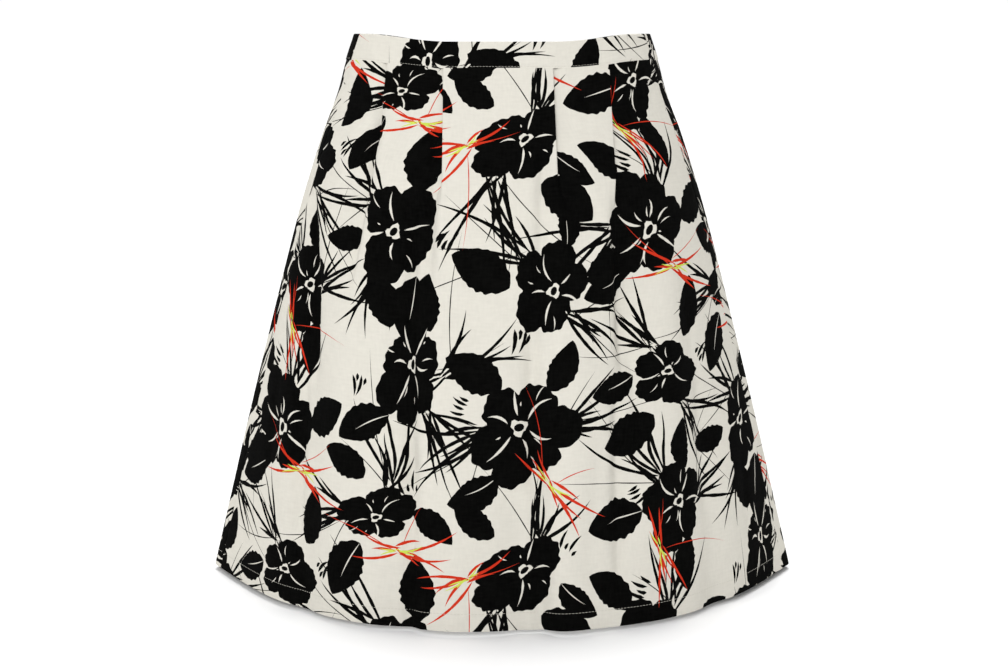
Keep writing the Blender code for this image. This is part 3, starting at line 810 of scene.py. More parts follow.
def cloth_shell(name, flat, outer, normals, thickness, right_side_in=0.0):
    """A closed cloth wall: the flat cloth's triangles outside, the same inside, and a rim.

    The inner face lies a thickness behind the outer one. The unwrap has the outer face in its
    upper half and the inner one mirrored in its lower half.
    """
    triangles, count = flat.triangles, len(outer)
    rim, owner = border(triangles)
    sides = np.stack((rim[:, 1], rim[:, 0], rim[:, 0] + count, rim[:, 1] + count), -1)
    points = np.concatenate((outer, outer - normals * thickness[:, None]))
    mesh = mesh_from(f"{name}_cloth", points, [triangles, triangles[:, ::-1] + count, sides])
    mesh.normals_split_custom_set_from_vertices(np.concatenate((normals, -normals)).tolist())
    outside, behind = np.zeros(len(triangles)), np.ones(len(triangles)) - right_side_in
    add_attribute(mesh, "ink", "FACE", np.concatenate((flat.inks, flat.inks, flat.inks[owner])))
    add_attribute(mesh, "reverse", "FACE", np.concatenate((outside, behind, outside[owner])))
    place = np.insert(flat.points + CUTS[name].place, 2, 0.0, axis=1)
    place = np.concatenate((place, place + (0.0, 0.0, FACES_APART)))
    add_attribute(mesh, "cloth_place", "POINT", place)
    low, high = flat.points.min(0), flat.points.max(0)
    share = 0.01 + 0.98 * (flat.points - low) / (high - low)
    spread = np.concatenate([share * (1.0, size) + (0.0, start) for size, start in UNWRAP_HALVES])
    corners = np.empty(len(mesh.loops), np.int32)
    mesh.loops.foreach_get("vertex_index", corners)
    on_rim = np.arange(len(corners)) >= 6 * len(triangles)
    spread = spread[np.where(on_rim, corners % count, corners)]
    mesh.uv_layers.new(name="cloth").data.foreach_set("uv", spread.astype(np.float32).ravel())
    return finished(mesh, CLOTH, node=name)


def even_across(low, high):
    """Even spots between two edges, without the edges."""
    return np.linspace(low, high, max(int((high - low) / SPOT_ACROSS), 2) + 1)[1:-1]


def clear_of(places, taken):
    """The places that are not too near to one that is taken."""
    return places[np.abs(places[:, None] - taken[None]).min(1) > MELD] if len(taken) else places


def flat_edge(drape, rows):
    """The outline of the flat cloth, counter-clockwise seen from outside, from some of its rows."""
    down, ways = -drape.levels[rows], drape.ways[rows]
    left, right = np.stack((ways[:, 0], down), -1), np.stack((ways[:, -1], down), -1)
    bottom = np.linspace(left[-1], right[-1], int((right[-1] - left[-1])[0] / SPOT_ACROSS) + 1)
    turns = ways[0, drape.folded]
    top = np.sort(np.append(clear_of(even_across(ways[0, 0], ways[0, -1]), turns), turns))[::-1]
    top = np.stack((top, np.full(len(top), down[0])), -1)
    return np.concatenate((left, bottom[1:-1], right[::-1], top))


def flat_net(drape, rows, ruled_from):
    """Fold lines and loose spots for a piece of flat cloth: its pleats' columns, and a grid.

    From the level ruled_from on, each row of the grid is a line, so that no triangle leaves
    out a row where the cloth turns sharply.
    """
    rows = rows[1:-1]
    pleated = rows[drape.levels[rows] < PLEATS_FADED]
    lines = [
        np.stack((drape.ways[pleated, column], -drape.levels[pleated]), -1)
        for column in np.flatnonzero(drape.folded)
    ]
    spots = [np.empty((0, 2))]
    for k, row in enumerate(rows):
        low, high = drape.ways[row, 0], drape.ways[row, -1]
        ruled = drape.levels[row] >= ruled_from
        even = even_across(low, high)
        if not ruled:
            even = even + 0.5 * (even[1] - even[0]) * (k % 2 - 0.5)
        even = even[(even > low + EDGE_CLEAR) & (even < high - EDGE_CLEAR)]
        places = np.sort(np.concatenate((even, low + SPOTS_AT_EDGE, high - SPOTS_AT_EDGE)))
        if drape.levels[row] < PLEATS_FADED:
            places = clear_of(places, drape.ways[row, drape.folded])
        if ruled:
            places = np.concatenate(([low], places, [high]))
        level = np.full(len(places), -drape.levels[row])
        (lines if ruled else spots).append(np.stack((places, level), -1))
    return lines, np.concatenate(spots)


def printed_on(name, drape, rows, ruled_from):
    """One piece's printed flat cloth, and its points and normals on its drape."""
    edge = flat_edge(drape, rows)
    shapes = print_over(edge.min(0), edge.max(0), np.array(CUTS[name].place))
    flat = printed_flat(edge, *flat_net(drape, rows, ruled_from), shapes)
    return flat, *drape.at(flat.points)


def panel(name, drape, sewing):
    """One body piece: printed flat cloth laid on its drape, with its hem turned up inside.

    The wall thickens over the turned-up hem, whose lower edge is a half round.
    """
    cloth = bpy.context.scene.skirt_cloth
    even = np.flatnonzero(drape.levels < SKIRT_LENGTH - CLOSE_ROWS_FROM)
    rows = np.append(even[::ROWS_TAKEN], np.arange(even[-1] + 1, len(drape.levels)))
    flat, points, normals = printed_on(name, drape, rows, SKIRT_LENGTH - RULED_FROM)
    to_hem = SKIRT_LENGTH + flat.points[:, 1]
    turned_up = 1.0 - ease(to_hem, cloth.hem_depth - HEM_STEP[0], cloth.hem_depth + HEM_STEP[1])
    thickness = cloth.thickness + (cloth.hem_thickness - cloth.thickness) * turned_up
    radius = cloth.hem_thickness / 2
    rounding = radius * (1.0 - np.sqrt(1.0 - np.clip(1.0 - to_hem / radius, 0.0, 1.0) ** 2))
    outer = points + normals * (WALL / 2 - rounding)[:, None]
    middle = SKIRT_LENGTH + flat.points[flat.triangles].mean(1)[:, 1]
    piece = cloth_shell(name, flat, outer, normals, thickness - 2 * rounding,
                        right_side_in=middle < cloth.hem_depth)


# The waistband: one strip folded over the top edge, its lower edges turned in
BAND_LAYER = 0.0007         # the strip's own thickness
BAND_FOLD = BAND_WALL / 2 - BAND_LAYER / 2
BAND_HOOK = 0.0005
BAND_COLUMNS = 120


def band_profile():
    """Offsets and drops across the strip: up the inside, half round the top, down the outside."""
    hook, turn = np.linspace(math.pi / 2, 0.0, 5)[:-1], np.linspace(0.0, math.pi, 13)
    low = BAND_HEIGHT - BAND_HOOK
    straight = np.linspace(low, BAND_FOLD, 9)[:-1]
    hooked = BAND_FOLD - BAND_HOOK + BAND_HOOK * np.cos(hook)
    offset = np.append(hooked, np.full(len(straight), BAND_FOLD))
    drop = np.append(low + BAND_HOOK * np.sin(hook), straight)
    return (np.concatenate((-offset, -BAND_FOLD * np.cos(turn), offset[::-1])),
            np.concatenate((drop, BAND_FOLD * (1.0 - np.sin(turn)), drop[::-1])))


def band_ends(drop, seams):
    """Places of a stretch of band: seam 0 is centre front, 1 a side seam and 2 centre back."""
    side, back = seam_place(drop), back_place(drop)
    return np.interp(seams, (-2.0, -1.0, 0.0, 1.0, 2.0), (-back, -side, 0.0, side, back))


def band(name, seams, datum, sewing):
    """One piece of waistband between two seams, as a folded, printed strip."""
    offsets, drops = band_profile()
    rows = []
    for offset, drop in zip(offsets, drops):
        drop = float(max(drop, 0.0))
        start, end = band_ends(drop, seams) + (SEAM_GAP / 2, -SEAM_GAP / 2)
        places = run_between_seams(start, end, BAND_COLUMNS)
        roll = np.exp((start - places) / ROLL_WIDTH) + np.exp((places - end) / ROLL_WIDTH)
        rows.append(stand(drop, places, offset - math.copysign(1.0, offset) * ROLL_DEPTH * roll))
    drape = Drape(way_along(np.stack((offsets, drops), -1)), rows, datum)
    flat, points, normals = printed_on(name, drape, np.arange(len(rows)), 0.0)
    thickness = np.full(len(points), BAND_LAYER)
    piece = cloth_shell(name, flat, points + normals * BAND_LAYER / 2, normals, thickness)


# Stitches ------------------------------------------------------------------------------------

STITCH_SIDES, STITCH_PARTS = 6, 5
STITCHED_FROM = 0.001       # a piece's edge to the first stitch
BAND_STITCH_DROP = 0.0236
BAND_STITCH_LEAN = 0.25     # how far the band's stitches lean up, to one outwards
HEM_PATH, BAND_PATH = 900, 500      # the points of a line of stitches

# A seam's pitch and its stitches' length, both in the setting's pitches, and its thread's radius
Sewing = namedtuple("Sewing", "pitch length thread")
HEM_SEWING = Sewing(1.0, 0.78, 0.00020)
BAND_SEWING = Sewing(0.9, 0.7, 0.00014)
ZIP_SEWING = Sewing(1.0, 0.8, 0.00016)


def stitches(name, points, normals, sewing):
    """A line of stitches along a path: short threads that dive into the cloth at both ends.

    Each is a tube along its own stretch of the path, whose height above the cloth is a sine.
    """
    setting, radius = bpy.context.scene.skirt_cloth.stitch_pitch, sewing.thread
    pitch, length = sewing.pitch * setting, sewing.length * setting
    way = way_along(points)
    count = int((way[-1] - length) / pitch)
    part = np.linspace(0.0, 1.0, STITCH_PARTS)
    at = (pitch * np.arange(count)[:, None] + length * part[None] + pitch / 3).ravel()
    out = unit(read_off(at, way, normals))
    line = unit(read_off(at + radius, way, points) - read_off(at - radius, way, points))
    arch = np.tile(np.sin(math.pi * part), count)
    centres = read_off(at, way, points) + out * (radius * (1.5 * arch - 0.9))[:, None]
    swell = radius * (0.75 + 0.25 * arch)
    threads = tubes(centres, np.cross(out, line), out, swell, STITCH_SIDES, count)
    return finished(mesh_from(name, *threads), THREAD)


def hem_sewing(name, drape):
    """The hem's line of stitches, which lie on the outside of one panel."""
    hem_depth = bpy.context.scene.skirt_cloth.hem_depth
    points, normals = drape.across_at(SKIRT_LENGTH - hem_depth, HEM_PATH)
    return stitches(f"{name}_hem_stitches", points + normals * WALL / 2, normals, HEM_SEWING)


def band_sewing(name, seams):
    """The line of stitches along the lower edge of a piece of waistband."""
    low, high = band_ends(BAND_STITCH_DROP, seams)
    places = np.linspace(low + STITCHED_FROM, high - STITCHED_FROM, BAND_PATH)
    points = stand(BAND_STITCH_DROP, places, BAND_WALL / 2)
    outwards = np.insert(on_ring(BAND_STITCH_DROP, places)[1], 2, BAND_STITCH_LEAN, axis=1)
    return stitches(f"{name}_stitches", points, outwards, BAND_SEWING)


# The zip -------------------------------------------------------------------------------------

ZIP_TOP, ZIP_LENGTH = 0.004, 0.191
TAPE_WIDTH, TAPE_WALL, TAPE_AREA = 0.024, 0.0010, 0.00456
TAPE_STEPS_BACK = (0.001, 0.006)    # how far below the band it starts and ends to step outwards
TAPE_ROWS, TAPE_COLUMNS = 96, 16
TAPE_THIN, SELVEDGE = 0.00034, 0.00009      # half the weave's thickness, and what the selvedge adds
SELVEDGE_AT, SELVEDGE_WIDTH = 0.0111, 0.0007
TAPE_SPLIT = 0.0002                 # between the two halves of the tape
COIL_PITCH, COIL_WIRE = 0.00125, 0.00024
COIL_HEAD, COIL_HEEL = -0.0005, 0.0021      # where a turn starts and ends across its half
COIL_LOW, COIL_HIGH = 0.00025, 0.00115      # and off the tape
COIL_TURN_STEPS, COIL_SIDES = 14, 6
ZIP_STITCHES_AT = 0.0034

SLIDER_DROP, SLIDER_REACH = 0.0110, 0.004
PLATE_WIDTH, PLATE_HEIGHT, PLATE_THICKNESS = 0.0046, 0.0090, 0.0012
ARCH_REACH, ARCH_SPAN, ARCH_WIRE = 0.0028, 0.0050, 0.0005
PLATE_FACE, PLATE_BACK = -ARCH_REACH / 2, -ARCH_REACH / 2 - PLATE_THICKNESS
# The plate's rings: how far in from its edge, at what level, and how rubbed
PLATE_RINGS = (
    (0.00025, PLATE_BACK, 0.2),
    (0.00005, PLATE_BACK + 0.00006, 0.6),
    (0.0, PLATE_BACK + 0.00025, 0.8),
    (0.0, PLATE_FACE - 0.00048, 1.0),
    (0.00006, PLATE_FACE - 0.00028, 1.0),
    (0.00022, PLATE_FACE - 0.00012, 0.6),
    (0.00045, PLATE_FACE - 0.00004, 0.2),
    (0.00080, PLATE_FACE, 0.0),
    (0.00110, PLATE_FACE, 0.0),
)
PLATE_SIDES, ARCH_STEPS, ARCH_SIDES = 64, 25, 16
PULL_LENGTH, PULL_WIDTH, PULL_THICKNESS, PULL_NECK = 0.0230, 0.0072, 0.0010, 0.0042
PULL_ROUNDING, PULL_CORNER, PULL_COLUMNS = 0.00024, 0.0007, 120
PULL_LOWER_TURN = (-188.0, 8.0)     # the round lower end, in degrees
EYE_LENGTH, EYE_WIDTH, EYE_BAR = 0.0042, 0.0022, 0.0010
EYE_TOP, EYE_END = EYE_BAR / 2, -EYE_BAR / 2 - EYE_LENGTH
PULL_SETTLE = math.radians(5.0)
# The raised line round the pull's faces
PULL_BEAD, BEAD_INSET, BEAD_BELOW_EYE, BEAD_STEPS, BEAD_SIDES = 0.00016, 0.00085, 0.0016, 96, 8


def tape_offset(drop):
    """How far the tape's middle lies inside the ring: behind the band, then behind the backs."""
    behind = [-wall / 2 - SEAM_GAP - TAPE_WALL / 2 for wall in (BAND_WALL, WALL)]
    return float(np.interp(drop, [BAND_HEIGHT + below for below in TAPE_STEPS_BACK], behind))


def tape_rows(place, offset):
    """Points on the tape's levels, at places from centre back and offsets from its middle."""
    rows = []
    for drop in np.linspace(ZIP_TOP, ZIP_TOP + ZIP_LENGTH, TAPE_ROWS):
        beyond = back_place(drop) + place
        round_ring = np.where(place > 0.0, beyond - 2 * back_place(drop), beyond)
        folds = fold_height(BACK_FOLDS, FOLD_FADE, drop, round_ring, back=True)
        rows.append(stand(drop, beyond, tape_offset(drop) + offset + folds))
    return np.array(rows)


def tape_lines(place):
    """Lines down the tape's inner and its outer face, at one place from centre back."""
    return tape_rows(np.full(2, place), np.array((-TAPE_THIN, TAPE_THIN))).swapaxes(0, 1)


def tape():
    """The zip's two woven halves side by side: each is a flat tube, thicker at its selvedge."""
    share = np.sin(np.linspace(-0.5, 0.5, TAPE_COLUMNS + 1) * math.pi) * 0.5 + 0.5
    over = TAPE_SPLIT / 2 + share * (TAPE_WIDTH - TAPE_SPLIT) / 2
    rounded = np.sqrt(1.0 - np.abs(2.0 * share - 1.0) ** 24)
    half = (TAPE_THIN + SELVEDGE * bell(over - SELVEDGE_AT, SELVEDGE_WIDTH)) * rounded
    loop, lift = np.append(over, over[::-1][1:-1]), np.append(half, -half[::-1][1:-1])
    index = np.arange(TAPE_ROWS * len(loop)).reshape(TAPE_ROWS, -1)
    down = np.linspace(0.0, ZIP_LENGTH, TAPE_ROWS)
    parts, flat = [], []
    for side in (-1, 1):
        faces = [quads(index, -side), index[:1, ::side], index[-1:, ::-side]]
        parts.append((tape_rows(side * loop, lift).reshape(-1, 3), faces))
        spread = np.stack(np.meshgrid(side * loop, down), -1).reshape(-1, 2)
        flat.append(np.insert(spread, 2, 0.0, axis=1))
    mesh = joined("zip_tape_cloth", parts)
    add_attribute(mesh, "cloth_place", "POINT", np.concatenate(flat))
    return finished(mesh, TAPE, node="zip_tape")


def oblong(wave, power):
    """A cosine or a sine to a power that keeps its sign, for a rounded oblong."""
    return np.sign(wave) * np.abs(wave) ** power


def coil():
    """The zip's teeth: a flattened spiral of wire on each half's inner side, the heads meshed.

    Across and off the tape, a turn is a rounded oblong: powers of its cosine and its sine.
    """
    inner, outer = tape_lines(0.0)
    way = way_along(inner)
    turns = int((way[-1] - 2 * COIL_PITCH) / COIL_PITCH)
    angle = np.linspace(0.0, 2 * math.pi * turns, turns * COIL_TURN_STEPS + 1)
    over = (COIL_HEAD + COIL_HEEL) / 2 + (COIL_HEEL - COIL_HEAD) / 2 * oblong(np.cos(angle), 0.6)
    off = (COIL_LOW + COIL_HIGH) / 2 + (COIL_HIGH - COIL_LOW) / 2 * oblong(np.sin(angle), 0.8)
    parts = []
    for side in (-1, 1):
        down = COIL_PITCH * (0.75 + angle / (2 * math.pi) + 0.25 * side)
        spot = read_off(down, way, inner)
        inwards = unit(spot - read_off(down, way, outer))
        path = spot + inwards * off[:, None] + np.array((side, 0.0, 0.0)) * over[:, None]
        parts.append(tube(path, COIL_WIRE, COIL_SIDES, unit(np.gradient(spot, axis=0))))
    return finished(joined("zip_teeth", parts), COIL)


def zip_sewing(name, side):
    """The line of stitches that holds one half's coil to its tape, on the inside."""
    inner, outer = tape_lines(side * ZIP_STITCHES_AT)
    return stitches(name, inner, (inner - outer) / (2 * TAPE_THIN), ZIP_SEWING)


def hinge_place():
    """The pull's axis, outside the band at centre back, and the band's lean there."""
    drops = (SLIDER_DROP - SLIDER_REACH, SLIDER_DROP + SLIDER_REACH)
    above, below = (stand(drop, [back_place(drop)], BAND_WALL / 2)[0] for drop in drops)
    lean = math.atan2(below[1] - above[1], above[2] - below[2])
    out = SEAM_GAP + PLATE_THICKNESS + ARCH_REACH / 2
    return (above + below) / 2 + out * np.array((0.0, math.cos(lean), math.sin(lean))), lean


def at_hinge(name, parts, angle, wear):
    """One mesh of parts turned about the pull's axis and moved to it, with the wear on them."""
    axis, lean = hinge_place()
    cosine, sine = math.cos(angle + lean), math.sin(angle + lean)
    turned = np.array(((1.0, 0.0, 0.0), (0.0, cosine, sine), (0.0, -sine, cosine)))
    mesh = joined(name, [(points @ turned + axis, faces) for points, faces in parts])
    add_attribute(mesh, "wear", "POINT", np.concatenate(wear))
    return mesh


def inset(line, depth):
    """A closed outline moved inwards by a depth, square to itself."""
    return line + depth * leftwards(unit(np.roll(line, -1, axis=0) - np.roll(line, 1, axis=0)))


def slider():
    """A shield-shaped plate with rounded edges and a low crown, under a wire arch."""
    turn = full_turn(PLATE_SIDES)
    x = PLATE_WIDTH / 2 * oblong(np.cos(turn), 0.55)
    z = PLATE_HEIGHT / 2 * oblong(np.sin(turn), 0.7)
    shield = np.stack((x * (0.94 + 0.06 * np.cos(2 * math.pi * z / PLATE_HEIGHT)), z), -1)
    rings = [np.insert(inset(shield, depth), 1, level, axis=1) for depth, level, _ in PLATE_RINGS]
    index = np.arange(len(PLATE_RINGS) * PLATE_SIDES).reshape(-1, PLATE_SIDES)
    outwards = quads(index)[:, (0, 3, 2, 1)]
    plate = np.concatenate(rings), [outwards, index[:1], index[-1:, ::-1]]
    angle, foot = np.linspace(0.0, math.pi, ARCH_STEPS), (PLATE_FACE + PLATE_BACK) / 2
    bow = np.stack((ARCH_REACH * (np.sin(angle) - 0.5), ARCH_SPAN / 2 * np.cos(angle)), -1)
    path = np.concatenate(([(foot, ARCH_SPAN / 2)], bow, [(foot, -ARCH_SPAN / 2)]))
    path = np.insert(path, 0, 0.0, axis=1)
    swell = ARCH_WIRE * (0.92 + 0.08 * np.cos(np.linspace(-math.pi, math.pi, len(path))))
    arch = tube(path, swell, ARCH_SIDES, np.array((1.0, 0.0, 0.0)))
    wear = (np.repeat([rubbed for _, _, rubbed in PLATE_RINGS], PLATE_SIDES),
            np.repeat(np.sin(np.linspace(0.0, math.pi, len(path))), ARCH_SIDES))
    finished(at_hinge("zip_slider_metal", (plate, arch), 0.0, wear), METAL, node="zip_slider")


def tear_drop(depth, top, count):
    """The pull's outline at a depth inside it, cut off level at the top, as even points."""
    radius, neck = PULL_WIDTH / 2 - depth, PULL_NECK / 2 - depth
    middle = EYE_BAR / 2 - PULL_LENGTH + PULL_WIDTH / 2
    lower = (0.0, middle) + radius * towards(np.radians(np.linspace(*PULL_LOWER_TURN, 50)))
    corner = np.array((neck, top)) - PULL_CORNER
    right = corner + PULL_CORNER * towards(np.linspace(0.0, 0.5 * math.pi, 8))
    if top > EYE_END:
        right = np.concatenate(([(neck, EYE_END)], right))
    line = np.concatenate((lower, right, right[::-1] * (-1.0, 1.0), lower[:1]))
    way = way_along(line)
    return read_off(np.linspace(0.0, way[-1], count, endpoint=False), way, line)


def pull():
    """The pull: a tear-drop tab with an oblong eye, rounded edges and a raised line on both faces.

    The tab is a ring of sections that go round the eye, each on a line that points to the eye.
    """
    half = PULL_THICKNESS / 2 - PULL_BEAD
    outer = tear_drop(0.0, EYE_TOP, PULL_COLUMNS)
    centre = np.array((0.0, -(EYE_BAR + EYE_LENGTH) / 2))
    ray = towards(np.arctan2(outer[:, 1] - centre[1], outer[:, 0]))
    eye = centre + ray * (np.abs(2 * ray / (EYE_WIDTH, EYE_LENGTH)) ** 5).sum(1)[:, None] ** -0.2
    angles = np.linspace(0.0, 0.5 * math.pi, 5)
    edge = [(PULL_ROUNDING * (1.0 - math.cos(a)), half - PULL_ROUNDING * (1.0 - math.sin(a)))
            for a in angles]
    rim, hole = inset(outer, PULL_ROUNDING), inset(eye, -PULL_ROUNDING)
    lines = [(inset(outer, depth), level, 1.0) for depth, level in edge]
    lines += [(rim * (1.0 - share) + hole * share, half, 0.0)
              for share in (0.1, 0.3, 0.5, 0.7, 0.9)]
    lines += [(inset(eye, -depth), level, 0.8) for depth, level in edge[::-1]]
    lines += [(line, -level, wear) for line, level, wear in lines[::-1]]
    points = np.concatenate([np.insert(line, 2, level, axis=1) for line, level, _ in lines])
    index = np.arange(len(points)).reshape(len(lines), PULL_COLUMNS)
    parts = [(points, [quads(np.concatenate((index, index[:1])))])]
    wear = [np.repeat([wear for _, _, wear in lines], PULL_COLUMNS)]
    bead = tear_drop(BEAD_INSET, EYE_END - BEAD_BELOW_EYE, BEAD_STEPS)
    for face in (-half, half):
        path = np.insert(np.concatenate((bead, bead[:2])), 2, face, axis=1)
        parts.append(tube(path, PULL_BEAD, BEAD_SIDES, np.array((0.0, 0.0, 1.0))))
        wear.append(np.full(len(path) * BEAD_SIDES, 0.8))
    mesh = at_hinge("zip_pull_metal", parts, 0.5 * math.pi - PULL_SETTLE, wear)
    finished(mesh, METAL, body=PULL_BODY, node="zip_pull")


# Finishes ------------------------------------------------------------------------------------

# Scales are cells of a pattern per metre; a stretch is the share of them along each way
SLUBS, BLOTCHES, WEAVE = 460.0, 60.0, 500.0
WEFT, WARP = (0.20, 1.0, 1.0), (1.0, 0.20, 1.0)
PRINT_FADES = 0.42          # on the cloth's back
RIB, TWILL, TAPE_YARN, TAPE_WARP = 0.0016, 7800.0, 900.0, (1.0, 0.15, 1.0)
TAPE_TONES = (0.50, 0.48, 0.41), (0.66, 0.64, 0.57)
BRUSHED, BRUSHED_ALONG, METAL_BLOTCHES = 2600.0, (1.0, 1.0, 0.05), 240.0
METAL_TONES, RUBBED_TONE = ((0.50, 0.49, 0.46), (0.64, 0.63, 0.60)), (0.78, 0.77, 0.74)
COIL_TONE = (0.62, 0.60, 0.53)
GRAIN = 900.0


def forms_of(operation):
    """An operator's plain and reflected forms, each of which adds a Math node."""
    return (lambda one, other: one.finish.math(operation, one, other),
            lambda one, other: one.finish.math(operation, other, one))


class Value:
    """A shader socket that can stand in an expression."""

    __add__, __radd__ = forms_of("ADD")
    __sub__, __rsub__ = forms_of("SUBTRACT")
    __mul__, __rmul__ = forms_of("MULTIPLY")

    def __init__(self, finish, socket):
        self.finish, self.socket = finish, socket


class Finish:
    """A material and its Principled shader, whose nodes are added by kind."""

    def __init__(self, name, **constants):
        self.material = bpy.data.materials.get(name) or bpy.data.materials.new(name)
        self.material.use_nodes = True
        self.tree = self.material.node_tree
        self.shader = self.tree.nodes["Principled BSDF"]
        for socket, value in constants.items():
            self.shader.inputs[socket.replace("_", " ")].default_value = value

    def node(self, kind, settings=None, sockets=None):
        """Adds a node: its settings come first, then the values and links of its sockets."""
        made = self.tree.nodes.new(kind)
        for key, value in (settings or {}).items():
            setattr(made, key, value)
        for key, value in (sockets or {}).items():
            if isinstance(value, (Value, bpy.types.NodeSocket)):
                self.tree.links.new(getattr(value, "socket", value), made.inputs[key])
            else:
                made.inputs[key].default_value = value
        return made

    def math(self, operation, *terms):
        made = self.node("ShaderNodeMath", {"operation": operation}, dict(enumerate(terms)))
        return Value(self, made.outputs[0])

    def attribute(self, name, output="Fac"):
        made = self.node("ShaderNodeAttribute", {"attribute_name": name})
        return Value(self, made.outputs[output])

    def object_place(self):
        return self.node("ShaderNodeTexCoord").outputs["Object"]

    def mixed(self, share, first, second):
        """A colour between two, through a Mix node; a plain tone is given as three numbers."""
        first, second = (
            (*tone, 1.0) if isinstance(tone, tuple) else tone for tone in (first, second))
        made = self.node("ShaderNodeMix", {"data_type": "RGBA"}, {0: share, 6: first, 7: second})
        return made.outputs[2]

    def noise(self, place, scale, detail=3.0, stretch=(1.0, 1.0, 1.0)):
        mapped = self.node("ShaderNodeMapping", {}, {"Vector": place, "Scale": stretch})
        made = self.node("ShaderNodeTexNoise", {}, {
            "Vector": mapped.outputs[0], "Scale": scale, "Detail": detail})
        return Value(self, made.outputs["Fac"])

    def spun(self, share, tone, spread):
        """A tone that goes from darker to paler by a spread, as a share goes from 0 to 1."""
        darker, paler = (
            tuple(min(by * part, 1.0) for part in tone) for by in (1.0 - spread, 1.0 + spread))
        return self.mixed(share, darker, paler)

    def feed(self, socket, value):
        self.tree.links.new(getattr(value, "socket", value), self.shader.inputs[socket])

    def bumped(self, height, strength, distance):
        made = self.node("ShaderNodeBump", {}, {
            "Height": height, "Strength": strength, "Distance": distance})
        self.feed("Normal", made.outputs[0])


def printed_cotton():
    """Plain-weave cotton: the ink of each face over cream, uneven with the yarns' slubs.

    The back of the cloth shows its print paler. The weave and the slubs are a faint bump.
    """
    cloth = bpy.context.scene.skirt_cloth
    finish = Finish(CLOTH, Roughness=0.88, Specular_IOR_Level=0.02)
    ink, reverse = finish.attribute("ink"), finish.attribute("reverse")
    place = finish.attribute("cloth_place", "Vector")
    weft, warp = (finish.noise(place, SLUBS, stretch=stretch) for stretch in (WEFT, WARP))
    blotch = finish.noise(place, BLOTCHES)
    uneven = 0.5 + (weft - 0.5) + (warp - 0.5) * 0.8 + (blotch - 0.5) * 0.6
    ground = colour = finish.spun(uneven, cloth.cream, 0.06)
    for number, tone, spread in (
        (BLACK, cloth.black, 0.8), (RED, cloth.red, 0.14), (LIME, cloth.lime, 0.09),
    ):
        inked = finish.math("COMPARE", ink, float(number), 0.5)
        colour = finish.mixed(inked, colour, finish.spun(uneven, tone, spread))
    faded = finish.mixed(PRINT_FADES, colour, ground)
    finish.feed("Base Color", finish.mixed(reverse, colour, faded))
    weave = finish.node("ShaderNodeTexWave", {"bands_direction": "X"}, {
        "Vector": place, "Scale": WEAVE}).outputs["Fac"]
    finish.bumped((weft + warp) * 0.5 + Value(finish, weave) * 0.15, 0.35, 0.00012)


def woven_tape():
    """Polyester tape in herringbone: a sine of the way down plus the way across, folded per rib."""
    finish = Finish(TAPE, Roughness=0.82, Specular_IOR_Level=0.15)
    place = finish.attribute("cloth_place", "Vector")
    parts = finish.node("ShaderNodeSeparateXYZ", {}, {0: place}).outputs
    over, down = (Value(finish, part) for part in parts[:2])
    twill = finish.math("SINE", (finish.math("PINGPONG", over, RIB) + down) * TWILL)
    yarn = finish.noise(place, TAPE_YARN, stretch=TAPE_WARP)
    share = 0.5 + twill * 0.28 + (yarn - 0.5) * 0.9
    finish.feed("Base Color", finish.mixed(share, *TAPE_TONES))
    finish.bumped(twill * 0.5 + yarn, 0.4, 0.00010)


def satin_metal():
    """Satin nickel: fine brushed lines, and edges that are rubbed brighter and smoother."""
    finish = Finish(METAL, Metallic=1.0)
    place = finish.object_place()
    brushed = finish.noise(place, BRUSHED, stretch=BRUSHED_ALONG)
    blotch = finish.noise(place, METAL_BLOTCHES, detail=2.0)
    rubbed = finish.attribute("wear") * (0.45 + (blotch - 0.5) * 1.2)
    tone = finish.mixed(brushed, *METAL_TONES)
    finish.feed("Base Color", finish.mixed(rubbed, tone, RUBBED_TONE))
    finish.feed("Roughness", 0.32 + brushed * 0.16 + (blotch - 0.5) * 0.10 - rubbed * 0.12)


def plain_finish(name, colour, roughness, specular, grain=0.0):
    """One colour with a fine grain in Object coordinates, lighter and darker by its share."""
    finish = Finish(name, Roughness=roughness, Specular_IOR_Level=specular)
    speck = finish.noise(finish.object_place(), GRAIN, detail=2.0)
    finish.feed("Base Color", finish.spun(speck, colour, grain))


# Settings, pieces and stage ------------------------------------------------------------------


def measure(name, description, default, low, high):
    return bpy.props.FloatProperty(name=name, description=description, default=default,
                                   min=low, max=high, precision=5, unit="LENGTH")


def amount(name, description, default, high, kind="NONE"):
    return bpy.props.FloatProperty(name=name, description=description, default=default,
                                   min=0.0, max=high, unit=kind)


def tint(name, description, default):
    return bpy.props.FloatVectorProperty(name=name, description=description, default=default,
                                         subtype="COLOR", min=0.0, max=1.0)


class SkirtCloth(bpy.types.PropertyGroup):
    """Sizes and colours of the cloth and its print."""

    thickness: measure("Cloth thickness", "Thickness of the cotton", 0.0007, 0.0003, 0.001)
    hem_depth: measure("Hem depth", "Height of the turned-up hem", 0.0165, 0.010, 0.020)
    hem_thickness: measure("Hem thickness", "Thickness of the hem's layers", 0.0017, 0.001, 0.0023)
    stitch_pitch: measure("Stitch pitch", "From one stitch to the next", 0.0033, 0.002, 0.006)
    cream: tint("Cream", "The cloth's ground", (0.603, 0.581, 0.519))
    black: tint("Black", "The print's black", (0.0022, 0.0022, 0.0020))
    red: tint("Red", "The print's orange red", (0.50, 0.030, 0.012))
    lime: tint("Lime", "The print's yellow green", (0.50, 0.60, 0.09))
    thread: tint("Thread", "The sewing thread", (0.52, 0.50, 0.44))


